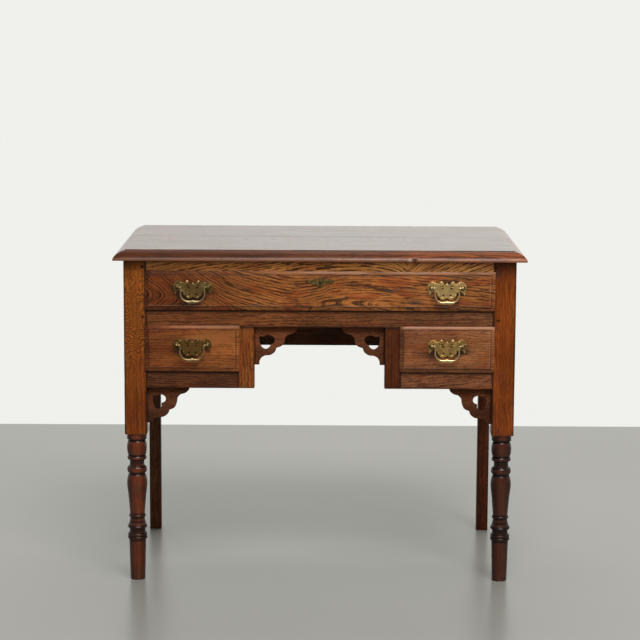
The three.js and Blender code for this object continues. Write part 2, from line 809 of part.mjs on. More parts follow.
// The bail: a wire loop whose ends turn out into the posts, swelling to a flat grip in the middle
function bail() {
  const pin = postSpacing / 2 + bailPinReach;
  const half = bailPathShares.map(([across, up]) => [across * bailArmOffset, up * bailDrop]);
  const pinEnd = [[pin, 0], [(pin + half[0][0]) / 2, 0]];
  const right = [...pinEnd, ...half];
  const left = right.slice(0, -1).reverse().map(([x, z]) => [-x, z]);
  const path = new THREE.SplineCurve([...right, ...left].map(([x, z]) => new THREE.Vector2(x, z)));
  const position = [];
  const index = [];
  for (let i = 0; i <= bailSteps; i += 1) {
    const share = i / bailSteps;
    const centre = path.getPointAt(share);
    const tangent = path.getTangentAt(share);
    const offGrip = centre.y < -bailDrop / 2 ? Math.abs(centre.x) / bailGripHalf : 1;
    const swell = Math.cos((Math.min(1, offGrip) * Math.PI) / 2);
    const across = (bailWire + (bailGripHeight - bailWire) * swell) / 2;
    const deep = (bailWire + (bailGripThickness - bailWire) * swell) / 2;
    for (let j = 0; j < bailSides; j += 1) {
      const angle = ((j + 1 / 2) / bailSides) * 2 * Math.PI;
      const out = across * Math.cos(angle);
      const x = centre.x - tangent.y * out;
      const z = centre.y + tangent.x * out;
      position.push(x, -pivotReach + deep * Math.sin(angle), z);
    }
  }
  for (let i = 0; i < bailSteps; i += 1) {
    for (let j = 0; j < bailSides; j += 1) {
      const next = (j + 1) % bailSides;
      const [a, b] = [i * bailSides + j, i * bailSides + next];
      const [c, d] = [a + bailSides, b + bailSides];
      index.push(a, c, b, b, c, d);
    }
  }
  const last = bailSteps * bailSides;
  for (let j = 1; j < bailSides - 1; j += 1) {
    index.push(0, j, j + 1, last, last + j + 1, last + j);
  }
  const geometry = new THREE.BufferGeometry();
  geometry.setAttribute("position", new THREE.Float32BufferAttribute(position, 3));
  geometry.setIndex(index);
  return asSolid(geometry);
}

// The lock, the keyhole through the front and the plate round the keyhole
function keyhole(grow, from, to) {
  const middle = longBayHeight / 2 + keyholeRise;
  const eye = sawn(polygon(circle(0, middle, keyholeRadius + grow)), "y", from, to);
  const slot = block(
    [-keyholeSlotWidth / 2 - grow, keyholeSlotWidth / 2 + grow],
    [from, to],
    [middle - keyholeSlotDrop - grow, middle],
  );
  return eye.add(slot);
}

function escutcheon() {
  const middle = longBayHeight / 2 + keyholeRise;
  const place = ([across, up]) => [across * escutcheonHalfWidth, middle + up * escutcheonHalfHeight];
  const outline = drawRuns(new THREE.Shape(), bothHalves(escutcheonEdgeShares), place);
  const face = -proudOfFrame - jointClearance;
  const plate = sawn(outline, "y", face - escutcheonThickness, face, plateSteps);
  return plate.subtract(keyhole(0, face - escutcheonThickness - cutOverrun, face + cutOverrun));
}

function lockPlace(grow) {
  const top = longBayHeight - drawerPlay;
  return {
    x: [-lockWidth / 2 - grow, lockWidth / 2 + grow],
    y: [frontRear - lockDepth - grow, frontRear],
    z: [top - lockHeight - grow, top],
  };
}

function boltPlace(grow) {
  const middle = frontRear - lockDepth / 2;
  const top = longBayHeight - drawerPlay - jointClearance;
  return {
    x: [-boltWidth / 2 - grow, boltWidth / 2 + grow],
    y: [middle - boltThickness / 2 - grow, middle + boltThickness / 2 + grow],
    z: [top - boltLength - grow, top],
  };
}

function lockCase() {
  const place = lockPlace(0);
  const channel = boltPlace(jointClearance);
  const [channelFoot, channelTop] = channel.z;
  const body = block(place.x, place.y, place.z);
  const slot = block(channel.x, channel.y, [channelFoot, channelTop + cutOverrun]);
  const [caseFront] = place.y;
  return body.subtract(slot).subtract(keyhole(jointClearance, caseFront - cutOverrun, channel.y[1]));
}

function lockBolt() {
  const place = boltPlace(0);
  return block(place.x, place.y, place.z);
}

function cutForLock(front) {
  const place = lockPlace(jointClearance);
  const [recessFront, recessRear] = place.y;
  const [recessFoot, recessTop] = place.z;
  const recess = block(
    place.x,
    [recessFront, recessRear + cutOverrun],
    [recessFoot, recessTop + cutOverrun],
  );
  const hole = keyhole(jointClearance, -proudOfFrame - cutOverrun, recessFront + cutOverrun);
  return front.subtract(recess).subtract(hole);
}

function addHandle(drawer, name, x, bayHeight) {
  const handle = new THREE.Group();
  handle.position.set(x, -proudOfFrame, bayHeight / 2 + handleRise);
  addPiece(handle, `${name}_backplate`, backplate(), castBrass);
  for (const [hand, side] of sides) {
    addPiece(handle, `${name}_post_${hand}`, handlePost(side), castBrass);
  }
  addPiece(handle, `${name}_bail`, bail(), castBrass);
  drawer.add(handle);
}

function addDrawer(name, centreX, bayWidth, bayBottom, bayHeight, handles) {
  const drawer = new THREE.Group();
  drawer.position.set(centreX, frontY, bayBottom);
  const layout = drawerLayout(bayWidth, bayHeight);
  const handlePlaces = handles.map(([, x]) => x);
  let front = drawerFront(bayWidth, bayHeight, layout, handlePlaces);
  if (name === "long_drawer") {
    front = cutForLock(front);
    addPiece(drawer, "escutcheon", escutcheon(), castBrass);
    addPiece(drawer, "lock_case", lockCase(), lockIron);
    addPiece(drawer, "lock_bolt", lockBolt(), lockIron);
  }
  addPiece(drawer, `${name}_front`, front, polishedOak);
  for (const [hand, side] of sides) {
    addPiece(drawer, `${name}_side_${hand}`, drawerSide(side, layout), insideOak);
  }
  addPiece(drawer, `${name}_back`, drawerBack(layout), insideOak);
  addPiece(drawer, `${name}_bottom`, drawerBottom(layout), insideOak);
  for (const [handleName, x] of handles) {
    addHandle(drawer, handleName, x, bayHeight);
  }
  pieces.add(drawer);
}

addPiece(pieces, "top", topBoard(), polishedOak);
addPiece(pieces, "top_rail", topRail(), polishedOak);
addPiece(pieces, "mid_rail", midRail(), darkOak);
addPiece(pieces, "back_board", backBoard(), darkOak);

for (const [hand, side] of sides) {
  addPiece(pieces, `front_leg_${hand}`, turnedLeg(side), warmOak);
  addPiece(pieces, `rear_leg_${hand}`, rearLeg(side), darkOak);
  addPiece(pieces, `side_panel_${hand}`, sidePanel(side), warmOak);
  addPiece(pieces, `lower_rail_${hand}`, lowerRail(side), darkOak);
  addPiece(pieces, `inner_stile_${hand}`, innerStile(side), polishedOak);
  addPiece(pieces, `partition_${hand}`, partition(side), insideOak);
  addPiece(pieces, `long_runner_${hand}`, outerRunner(side, longBayBottom), insideOak);
  addPiece(pieces, `small_runner_outer_${hand}`, outerRunner(side, smallBayBottom), insideOak);
  addPiece(pieces, `small_runner_inner_${hand}`, innerRunner(side), insideOak);
  addPiece(pieces, `knee_bracket_${hand}`, kneeBracket(side), darkOak);
  addPiece(pieces, `outer_bracket_${hand}`, outerBracket(side), darkOak);
}

addDrawer("long_drawer", 0, 2 * legInner, longBayBottom, longBayHeight, [
  ["long_left", -handleOffset],
  ["long_right", handleOffset],
]);
for (const [hand, side] of sides) {
  const centreX = (side * (stileOuter + legInner)) / 2;
  addDrawer(`small_drawer_${hand}`, centreX, legInner - stileOuter, smallBayBottom, smallBayHeight, [
    [`small_${hand}`, 0],
  ]);
}

export default pieces;
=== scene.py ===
"""Gives the oak lowboy its visible forms, oak and brass, with a stage and a camera.

Every length is in metres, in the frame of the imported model.
"""

import json
import math

import bmesh
import bpy
from bpy.props import FloatProperty, FloatVectorProperty, IntProperty, PointerProperty
from bpy.types import Operator, Panel, PropertyGroup
from mathutils import Euler, Matrix, Vector, noise


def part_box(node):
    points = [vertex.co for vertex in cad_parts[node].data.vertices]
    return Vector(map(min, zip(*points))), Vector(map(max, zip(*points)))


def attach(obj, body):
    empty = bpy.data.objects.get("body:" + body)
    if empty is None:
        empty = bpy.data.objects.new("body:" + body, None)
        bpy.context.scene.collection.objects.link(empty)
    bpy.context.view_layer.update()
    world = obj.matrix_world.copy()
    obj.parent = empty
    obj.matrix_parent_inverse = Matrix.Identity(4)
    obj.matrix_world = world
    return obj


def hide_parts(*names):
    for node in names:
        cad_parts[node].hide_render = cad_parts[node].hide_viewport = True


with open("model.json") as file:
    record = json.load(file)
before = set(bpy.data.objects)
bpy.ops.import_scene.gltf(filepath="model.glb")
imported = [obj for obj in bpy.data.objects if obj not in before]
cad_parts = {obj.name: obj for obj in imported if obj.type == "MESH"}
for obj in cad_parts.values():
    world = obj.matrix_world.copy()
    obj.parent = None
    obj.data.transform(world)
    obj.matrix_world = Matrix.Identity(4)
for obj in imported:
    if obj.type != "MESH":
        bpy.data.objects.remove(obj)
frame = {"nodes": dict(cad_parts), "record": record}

bl_info = {
    "name": "Lowboy dressing",
    "version": (1, 0, 0),
    "blender": (4, 5, 0),
    "location": "View3D > Sidebar > Lowboy",
    "description": "Builds the visible pieces of an oak lowboy with brass handles",
    "category": "Object",
}

MM = 0.001
SIDES = (("left", -1), ("right", 1))
DRAWERS = ("long_drawer", "small_drawer_left", "small_drawer_right")
HANDLES = {
    "long_left": "long_drawer",
    "long_right": "long_drawer",
    "small_left": "small_drawer_left",
    "small_right": "small_drawer_right",
}
BODIES = frame["record"]["behaviour"]["bodies"]
BODY_OF = {node: body for body, nodes in BODIES.items() for node in nodes}
SLOT_OF = {part["node"]: part["material_slot"] for part in frame["record"]["subparts"]}

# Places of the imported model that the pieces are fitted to
LEG_LOW, LEG_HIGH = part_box("front_leg_right")
STILE_LOW, STILE_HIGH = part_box("inner_stile_right")
FRONT_Y = LEG_LOW.y
LEG_INNER = LEG_LOW.x
SQUARE_FOOT = 340.5 * MM


def length(name, description, size):
    """A length among the settings, given in millimetres."""
    return FloatProperty(name=name, description=description, default=size * MM, unit="LENGTH")


def angle(name, description, degrees):
    """An angle among the settings."""
    turn = math.radians(degrees)
    return FloatProperty(name=name, description=description, default=turn, subtype="ANGLE")


def tone(name, description, colour):
    """A colour among the settings."""
    return FloatVectorProperty(
        name=name, description=description, default=colour, subtype="COLOR"
    )


class TopSettings(PropertyGroup):
    """Sizes of the top's moulded edge."""

    nose_height: length("Nose height", "Height of the square edge under the moulding", 4.5)
    mould_run: length("Moulding width", "How far the moulding reaches in from the edge", 26)
    mould_step: length("Moulding step", "Height of the small step above the curve", 1.5)
    joint_y: length("Joint line", "Depth at which the top's two boards meet", 28)


class WoodSettings(PropertyGroup):
    """Colours of the oak and softness of its edges."""

    light: tone("Light oak", "Pale wood between the year rings", (0.3, 0.105, 0.028))
    deep: tone("Deep oak", "Stained year rings", (0.085, 0.024, 0.008))
    vein: tone("Vein", "Open pores, filled with old wax", (0.018, 0.008, 0.005))
    wander: length("Unevenness", "How far a hand-planed face wanders", 0.22)


class LegSettings(PropertyGroup):
    """Fineness of the turned legs."""

    segments: IntProperty(
        name="Segments", description="Faces round a turned leg", default=56, min=16
    )
    arris: length("Edge softening", "Width of the worn edges of the square", 1.8)


class DrawerSettings(PropertyGroup):
    """Sizes of the drawers' moulded lips."""

    lip_thickness: length("Lip thickness", "Thickness of the lip's square edge", 3)
    mould_run: length("Moulding width", "How far the lip's moulding reaches in", 9.5)
    mould_rise: length(
        "Moulding height", "How far the field stands out in front of the lip", 3.2
    )
    mould_step: length("Moulding step", "Height of the small step at the field's edge", 0.8)


class BrassSettings(PropertyGroup):
    """Colours of the brass and the relief of the plates."""

    bright: tone("Bright brass", "Colour where hands rub the brass", (0.72, 0.54, 0.23))
    aged: tone("Aged brass", "Colour of the old patina", (0.15, 0.096, 0.034))
    rounding: length("Plate edge", "Rounding of a plate's edge", 0.45)
    ridge: length("Chased line", "Thickness of the raised line round a plate", 0.52)


class StageSettings(PropertyGroup):
    """Camera, lamps and floor."""

    lens: FloatProperty(
        name="Lens", description="Focal length of the camera in millimetres", default=118.19
    )
    distance: length("Distance", "How far the camera stands in front of the middle", 4883)
    height: length("Height", "Height of the camera above the floor", 1315)
    pitch: angle("Pitch", "How far the camera looks down", 8.72)
    roll: angle("Roll", "Turn of the camera about its own view", 0.273)
    floor: tone("Floor", "Colour of the floor", (0.225, 0.222, 0.2))
    wall: tone("Backdrop", "Backdrop as the camera sees it", (0.87, 0.875, 0.84))
    key: FloatProperty(
        name="Main lamp", description="Power of the large soft lamp in watts", default=345
    )
    fill: FloatProperty(
        name="Room light", description="Strength of the light from all round", default=0.38
    )


def sum_of(operation, swapped=False):
    """A method that adds a sum of two numbers to a shader."""

    def method(self, other):
        first, second = (other, self) if swapped else (self, other)
        return self.shader.math(operation, first, second)

    return method


class Value:
    """A number in a shader that can be used in sums."""

    __add__, __radd__ = sum_of("ADD"), sum_of("ADD", True)
    __sub__, __rsub__ = sum_of("SUBTRACT"), sum_of("SUBTRACT", True)
    __truediv__, __rtruediv__ = sum_of("DIVIDE"), sum_of("DIVIDE", True)
    __mul__ = sum_of("MULTIPLY")
    least, most = sum_of("MINIMUM"), sum_of("MAXIMUM")

    def __init__(self, shader, socket):
        self.shader = shader
        self.socket = socket

    def __abs__(self):
        return self.shader.math("ABSOLUTE", self)

    def root(self):
        """The square root."""
        return self.shader.math("SQRT", self)

    def part(self):
        """What follows the point."""
        return self.shader.math("FRACT", self)

    def rise(self, low, high, start=0.0):
        """Goes smoothly from the start at low to 1 at high."""
        settings = {"interpolation_type": "SMOOTHSTEP"}
        sockets = {"Value": self, "From Min": low, "From Max": high, "To Min": start}
        return self.shader.node("ShaderNodeMapRange", settings, sockets)["Result"]


class Shader:
    """Builds the nodes of one material or of the world."""

    def __init__(self, owner):
        self.owner = owner
        owner.use_nodes = True
        self.tree = owner.node_tree
        self.tree.nodes.clear()

    def node(self, kind, settings=None, sockets=None):
        """Adds a node, first its settings and then its sockets, and returns its outputs."""
        made = self.tree.nodes.new(kind)
        for name, value in (settings or {}).items():
            setattr(made, name, value)
        for name, value in (sockets or {}).items():
            self.feed(made.inputs[name], value)
        return Outputs(self, made)

    def feed(self, socket, value):
        """Links a socket to a value, or sets it."""
        if isinstance(value, Value):
            self.tree.links.new(value.socket, socket)
        else:
            socket.default_value = value

    def math(self, operation, first, second=None):
        """Adds one sum."""
        sockets = {0: first} if second is None else {0: first, 1: second}
        return self.node("ShaderNodeMath", {"operation": operation}, sockets)["Value"]

    def vector(self, operation, first, second):
        """Adds one vector sum."""
        sockets = {0: first, 1: second}
        return self.node("ShaderNodeVectorMath", {"operation": operation}, sockets)["Vector"]

    def mix(self, factor, first, second):
        """Mixes two colours."""
        sockets = {"Factor": factor, 6: rgba(first), 7: rgba(second)}
        return self.node("ShaderNodeMix", {"data_type": "RGBA"}, sockets)[2]

    def noise(self, place, stretch, detail=2.0, roughness=0.5):
        """Noise whose pattern has stretch waves to a metre along each axis."""
        spread = self.vector("MULTIPLY", place, stretch)
        sockets = {"Vector": spread, "Scale": 1.0, "Detail": detail, "Roughness": roughness}
        return self.node("ShaderNodeTexNoise", None, sockets)

    def split(self, place):
        """The three numbers of a vector."""
        parts = self.node("ShaderNodeSeparateXYZ", None, {"Vector": place})
        return parts["X"], parts["Y"], parts["Z"]

    def join(self, x, y, z):
        """A vector from three numbers."""
        return self.node("ShaderNodeCombineXYZ", None, {"X": x, "Y": y, "Z": z})["Vector"]

    def bump(self, height, depth, strength):
        """A normal from a height between 0 and 1."""
        sockets = {"Height": height, "Distance": depth, "Strength": strength}
        return self.node("ShaderNodeBump", None, sockets)["Normal"]

    def surface(self, **sockets):
        """Ends the material in a Principled surface."""
        named = {name.replace("_", " "): value for name, value in sockets.items()}
        out = self.node("ShaderNodeBsdfPrincipled", None, named)["BSDF"]
        self.node("ShaderNodeOutputMaterial", None, {"Surface": out})
        return self.owner


class Outputs:
    """The outputs of a node, by name or number."""

    def __init__(self, shader, made):
        self.shader = shader
        self.made = made

    def __getitem__(self, name):
        return Value(self.shader, self.made.outputs[name])


def rgba(colour):
    """A colour with its fourth number, unless it is already a link."""
    if isinstance(colour, Value) or len(colour) == 4:
        return colour
    return (*colour, 1.0)


def shade(colour, factor):
    """A colour made lighter or darker."""
    return tuple(min(1.0, part * factor) for part in colour)


# Turn of each axis that the grain may follow onto X, in degrees
TURNS = {"x": (0, 0, 0), "y": (0, 0, -90), "z": (0, 90, 0)}


def sawn(slope=0.0, tilt=0.5):
    """Year rings as nearly straight lines that climb along the board by the slope."""
    return lambda along, across, depth: across + depth * tilt - along * slope


def hearted(across_at, depth_at, slope, bow=0.0):
    """Year rings round a heart behind the face, which give arches where it bends."""

    def level(along, across, depth):
        b = across + across_at
        c = depth + depth_at + along * slope - along * along * bow
        return (b * b + c * c).root()

    return level


def feathered(slope, heart_at, height, reach):
    """Slanting rings that dip to a feather at one place."""

    def level(along, across, depth):
        off = abs(along - heart_at)
        return across + depth * 0.6 - along * slope - off / (off + reach) * height

    return level


def arched(along, across, depth):
    """Long arches whose tips point right, low on the left and level on the right."""
    off = (along + 0.13) / 0.13
    off = off * off
    axis = 0.05 / (off * off + 1.0) + 0.006 + along.most(0.0) * 0.16
    b = across + axis
    branch = (b * b + 0.00006).root()
    steep = (along + 0.28).least(0.0) * 0.5 + along.least(0.0) * 0.24
    return branch + depth * 0.5 + steep - along.most(0.0) * 0.07


# The look of a plain oak board; each piece says what differs.
# A ramp is where it starts and is full along the grain, and its tint; on the front boards the
# ramps paint light at the right and shade at the left. A band is the same for heights, then its
# strength and colour; most bands are painted shadow under a ledge. A stain is its place along
# and across the grain, its length and height, its strength, and a colour of its own; round the
# handles the stains are painted shadow of the plates and bails as well as dirt.
PLAIN_OAK = dict(
    ring=0.0055, figure=0.75, warp=0.012, redness=0.6, pore_depth=0.00016, face="top",
    bends=(9, 22, 22), streaks=(46, 300, 60), fades=(), bands=(), stains=(), grooves=(),
    grime=0.55, edge=0.0042, gloss=0.4, sheen=0.1, coat=0.08,
)
OLD_STAIN = (0.045, 0.028, 0.024)
HIGHLIGHT_AND_WEAR_WOOD = (0.5, 0.27, 0.17)


def oak(name, box, axis="x", seed=0, rings=sawn(), **look):
    """Solid oak with year rings, pores and rays, for a piece that fills a box.

    The grain runs along the axis, and rings says how the year rings lie.
    """
    settings = bpy.context.scene.lowboy_wood
    own = {key: tuple(getattr(settings, key)) for key in ("light", "deep", "vein")}
    look = {**PLAIN_OAK, **own, **look}
    light, deep, vein, figure = (look[key] for key in ("light", "deep", "vein", "figure"))
    red = look.get("red", shade((0.26, 0.053, 0.013), light[0] / 0.3))
    low, high = box
    centre, half = (low + high) / 2, (high - low) / 2

    s = Shader(bpy.data.materials.new(name))
    place = s.node("ShaderNodeTexCoord")["Object"]
    turn = Euler([math.radians(a) for a in TURNS[axis]])
    sockets = {"Vector": place, "Rotation": turn, "Location": -(turn.to_matrix() @ centre)}
    local = s.node("ShaderNodeMapping", {"vector_type": "POINT"}, sockets)["Vector"]
    moved = s.vector("ADD", local, (seed * 1.71, seed * 2.37, seed * 3.13))
    here = s.split(local)[0]
    px, py, pz = s.split(s.vector("SUBTRACT", place, tuple(centre)))
    if "seam" in look:
        # Behind the seam lies another board, with its own part of the figure
        beyond = s.split(place)[1].rise(look["seam"] - 0.0001, look["seam"] + 0.0001)
        apart = s.join(beyond * 0.83, beyond * 0.31, beyond * 0.1)
        moved, local = s.vector("ADD", moved, apart), s.vector("ADD", local, apart)
    along, across, depth = s.split(local)
    if look["face"] == "side":
        across, depth = depth, across

    # The year rings, bent a little, and the fibres, pores and dark streaks that follow them
    bend = s.noise(moved, look["bends"], 3.0)["Color"]
    ripple, drift, lift = s.split(s.vector("SUBTRACT", bend, (0.5, 0.5, 0.5)))
    level = rings(along, across + drift * look["warp"], depth + lift * look["warp"])
    grain = s.join(along, level + drift * 0.002, seed * 0.7 + depth * 0.3)
    uneven = s.noise(grain, (6, 62, 20))["Fac"]
    phase = (level / look["ring"] + uneven * 2.6 + seed * 0.37).part()
    hue = s.noise(moved, (7, 20, 20), 2.0, 0.6)["Fac"]
    patch = s.noise(moved, (13, 42, 42))["Fac"]
    band = (1.0 - phase.rise(0.12, 0.7)) * phase.rise(0.0, 0.14)
    clump = s.noise(grain, look["streaks"], 2.0, 0.55)["Fac"]
    dense = s.noise(grain, (11, 50, 20), 1.0)["Fac"]
    fibre = s.noise(grain, (60, 900, 200), 4.0, 0.65)["Fac"]
    pore = s.noise(grain, (90, 2100, 600))["Fac"].rise(0.53, 0.63)
    streak = clump + band * 0.2 + (dense - 0.5) * 0.4 + (fibre - 0.5) * 0.3
    streak = streak.rise(0.56, 0.66)

    # Colours of the wood, from the palest to stains of use, painted light and painted shade
    colour = s.mix(hue.rise(0.32, 0.68), shade(light, 0.76), shade(light, 1.35))
    colour = s.mix(patch.rise(0.5, 0.64) * look["redness"], colour, red)
    colour = s.mix(fibre.rise(0.42, 0.62) * 0.4, colour, shade(light, 0.5))
    colour = s.mix(band * (figure * 0.45), colour, deep)
    colour = s.mix(streak * figure, colour, shade(deep, 0.6))
    if "flames" in look:
        # Rippled figure, which lies across the grain
        flame_at, flame_reach, strength = look["flames"]
        wave = along * 112.0 + across * 35.0 + drift * 18.0 + ripple * 14.0
        wave = abs(wave.part() - 0.5) * 2.0
        zone = abs(along - flame_at).rise(flame_reach, flame_reach * 0.3)
        zone = zone * hue.rise(0.25, 0.5) * strength
        colour = s.mix(wave.rise(0.6, 0.15) * zone, colour, shade(deep, 0.8))
        colour = s.mix(wave.rise(0.6, 1.0) * zone * 0.6, colour, shade(light, 1.4))
    # Ramps along the grain; on the front boards they paint light at the right and shade at the
    # left
    for start, stop, tint in look["fades"]:
        share = here.rise(start, stop)
        if "polish" in look:
            share = share * pz.rise(half.z - 0.001, half.z - 0.004)
        colour = s.mix(share, colour, s.vector("MULTIPLY", colour, tint))
    colour = s.mix(pore * 0.6, colour, vein)
    # Bands at given heights; most paint shadow under a ledge, and some paint a highlight
    for start, full, strength, paint in look["bands"]:
        under = s.split(place)[2].rise(start, full)
        colour = s.mix(under * strength, colour, paint or shade(deep, 0.45))
    # Stains, and round the handles painted shadow of the plates and bails
    for spot_along, spot_across, long, tall, strength, *paint in look["stains"]:
        da = (along - spot_along) / long + ripple * 2.5
        db = (across - spot_across) / tall + drift * 2.5
        blotch = 1.0 - (da * da + db * db).rise(0.1, 1.0)
        paint = paint[0] if paint else OLD_STAIN
        colour = s.mix(blotch * (streak * 0.3 + 0.7) * strength, colour, paint)

    # Darker along a board's edges where it meets other parts, partly old dirt and partly painted
    # shade
    dx, dy, dz = half.x - abs(px), half.y - abs(py), half.z - abs(pz)
    edge = dx.least(dy).most(dx.most(dy).least(dz))
    dirt_and_shade = 1.0 - (edge + (patch - 0.5) * 0.006).rise(0.0003, look["edge"])
    # Painted shade on what lies further back, such as a lip's sides or a hole's walls
    if "sunk" in look:
        front, back = look["sunk"]
        dirt_and_shade = dirt_and_shade.most(py.rise(front - centre.y, back - centre.y))
    for groove in look["grooves"]:
        dirt_and_shade = dirt_and_shade.most(1.0 - abs(pz + (centre.z - groove)).rise(0.0008, 0.0055))
    if "seam" in look:
        line = 1.0 - abs(py + (centre.y - look["seam"])).rise(0.0004, 0.006)
        line = line * hue.rise(0.25, 0.55)
        dirt_and_shade = dirt_and_shade.most(line * 0.8)
    if "quirk" in look:
        # A drawer's moulding: painted shade and dirt at its step, dirt at its mitres, and painted
        # shade on the moulding at the left and below
        run = look["quirk"]
        line = dx.least(dz)
        foot = abs(line - run + 0.0012).rise(0.0003, 0.0024)
        dirt_and_shade = dirt_and_shade.most((1.0 - foot) * (patch * 0.9 + 0.3))
        mitre = line.rise(run, run * 0.9) * (1.0 - abs(dx - dz).rise(0.0002, 0.0014))
        dirt_and_shade = dirt_and_shade.most(mitre * 0.6)
        shadow = dx.rise(run, run * 0.7) * px.rise(0.001, 0.0)
        shadow = shadow.most(dz.rise(run, run * 0.5) * pz.rise(0.001, 0.0) * 0.6)
        dirt_and_shade = dirt_and_shade.most(shadow * patch.rise(0.1, 0.6) * 0.7)
    colour = s.mix(dirt_and_shade * look["grime"], colour, shade(vein, 0.7))
    if "rubbed" in look:
        # Painted highlights, with some wear from hands: the moulding's top and the field's edge
        # at the right and below are lighter
        start, stop, strength = look["rubbed"]
        highlight_rim = dz.rise(0.0065, 0.0028) * pz.rise(0.0, 0.001) * along.rise(start, stop)
        side = px.rise(half.x - run * 1.5, half.x - run * 1.4)
        side = side.most(pz.rise(run * 1.5 - half.z, run * 1.4 - half.z))
        side = side * (1.0 - abs(line - run - 0.0008).rise(0.0004, 0.0018))
        highlight_rim = highlight_rim * (patch + clump * 0.6).rise(0.45, 0.9)
        highlight_rim = highlight_rim.most(side * (hue + fibre).rise(0.75, 1.3) * 0.6) * strength
        colour = s.mix(highlight_rim, colour, HIGHLIGHT_AND_WEAR_WOOD)

    dull = look["gloss"] + (hue - 0.5) * 0.2 + pore * 0.2 + dirt_and_shade * 0.1
    relief = 0.75 - pore * 0.75 - band * 0.12 + fibre * 0.16
    coat = look["coat"]
    if "turned" in look:
        # The round part of a leg has its own tint, with painted shade at its left and right
        # sides, and more polish in front
        foot = look["turned"] - centre.z
        turned = pz.rise(foot, foot - 0.002)
        shaded_sides = abs(px).rise(half.x * 0.15, half.x * 0.75)
        colour = s.mix(turned, colour, s.vector("MULTIPLY", colour, look["tint"]))
        dark = s.vector("MULTIPLY", colour, (0.36, 0.32, 0.3))
        colour = s.mix(turned * shaded_sides, colour, dark)
        coat = turned * (1.0 - shaded_sides * 0.8) * (1.0 - dirt_and_shade * 0.5) * 0.8 + coat
    if "polish" in look:
        # A waxed table top, streaky, and duller along the seam
        flat = pz.rise(half.z - 0.0022, half.z - 0.001)
        ends = (py + half.y - dx).rise(-0.001, 0.001)
        streaky = 0.54 + clump * 0.4 + (dense - 0.5) * 0.5 + (hue - 0.5) * 0.6
        base = (here.rise(-0.45, 0.2) * 0.7 + 0.3) * coat
        coat = (flat.most(ends) * look["polish"] * streaky + base) * (1.0 - line * 0.6)
    return s.surface(
        Base_Color=colour, Roughness=dull, Specular_IOR_Level=look["sheen"], Coat_Weight=coat,
        Coat_Roughness=0.2, Normal=s.bump(relief, look["pore_depth"], 0.55),
    )


def brass(name, plane, polish_and_light, seed, worn=None, bright=None, pits=(), tint=(1.0, 1.0, 1.0)):
    """Old cast brass. It is bright where it stands out in front of the plane, or near a
    height given as worn, and olive brown elsewhere, and darker round the pits."""
    settings = bpy.context.scene.lowboy_brass
    s = Shader(bpy.data.materials.new(name))
    place = s.node("ShaderNodeTexCoord")["Object"]
    x, y, z = s.split(place)
    moved = s.vector("ADD", place, (seed * 0.31, 0, seed * 0.17))
    cloud = s.noise(moved, (90, 90, 90), 4.0, 0.6)["Fac"]
    grit = s.noise(moved, (900, 900, 900), 3.0, 0.6)["Fac"]
    blotch = s.noise(moved, (260, 260, 260), 2.0, 0.6)["Fac"]
    rub = (plane - y).rise(0.0001, 0.0014)
    if worn is not None:
        rub = rub.most(1.0 - abs(z - worn).rise(0.003, 0.012))
    share = rub * 0.65 + cloud.rise(0.38, 0.66) * 0.35 + polish_and_light
    share = share.least(1.0) - blotch.rise(0.58, 0.7) * 0.35
    colour = s.mix(share.most(0.0), tuple(settings.aged), bright or tuple(settings.bright))
    colour = s.mix(grit.rise(0.62, 0.74) * 0.4, colour, (0.05, 0.035, 0.015))
    for pit_x, pit_z, reach in pits:
        da, db = (x - pit_x) / reach, (z - pit_z) / reach
        dirt_and_shade = 1.0 - (da * da + db * db + (cloud - 0.5) * 0.6).rise(0.4, 1.0)
        colour = s.mix(dirt_and_shade * 0.85, colour, (0.035, 0.022, 0.01))
    return s.surface(
        Base_Color=s.vector("MULTIPLY", colour, tint), Metallic=1.0,
        Roughness=0.48 - share * 0.12 + blotch * 0.1,
        Normal=s.bump(cloud * 0.6 + grit * 0.4, 0.00014, 0.5),
    )


def iron(name):
    """Dull old iron with brown specks."""
    s = Shader(bpy.data.materials.new(name))
    place = s.node("ShaderNodeTexCoord")["Object"]
    rust = s.noise(place, (120, 120, 120), 4.0, 0.6)["Fac"].rise(0.52, 0.66)
    grit = s.noise(place, (1400, 1400, 1400))["Fac"]
    return s.surface(
        Base_Color=s.mix(rust * 0.7, (0.06, 0.055, 0.05), (0.09, 0.035, 0.015)),
        Metallic=1.0 - rust * 0.7, Roughness=0.5 + rust * 0.3,
        Normal=s.bump(grit, 0.0001, 0.4),
    )


def as_object(name, data):
    """Puts a mesh, curve, lamp or camera into the scene."""
    made = bpy.data.objects.new(name, data)
    bpy.context.collection.objects.link(made)
    return made


def as_mesh(name, made):
    """Turns bmesh data into a mesh."""
    mesh = bpy.data.meshes.new(name)
    made.to_mesh(mesh)
    made.free()
    return mesh


def evaluated(holder):
    """The final shape of an object as bmesh data."""
    graph = bpy.context.evaluated_depsgraph_get()
    mesh = bpy.data.meshes.new_from_object(holder.evaluated_get(graph))
    made = bmesh.new()
    made.from_mesh(mesh)
    bpy.data.meshes.remove(mesh)
    return made


def finish_piece(name, made, material, nodes, slot=None, sharp=34):
    """Turns finished bmesh data into an object that rides on its nodes' body."""
    mesh = as_mesh(name, made)
    mesh.shade_smooth()
    mesh.set_sharp_from_angle(angle=math.radians(sharp))
    mesh.materials.append(material)
    piece = as_object(name, mesh)
    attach(piece, BODY_OF[nodes[0]])
    slot or SLOT_OF[nodes[0]]
    if slot is None:
        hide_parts(*nodes)
    return piece


def whole(made):
    """All that a shape is made of."""
    return made.verts[:] + made.edges[:] + made.faces[:]


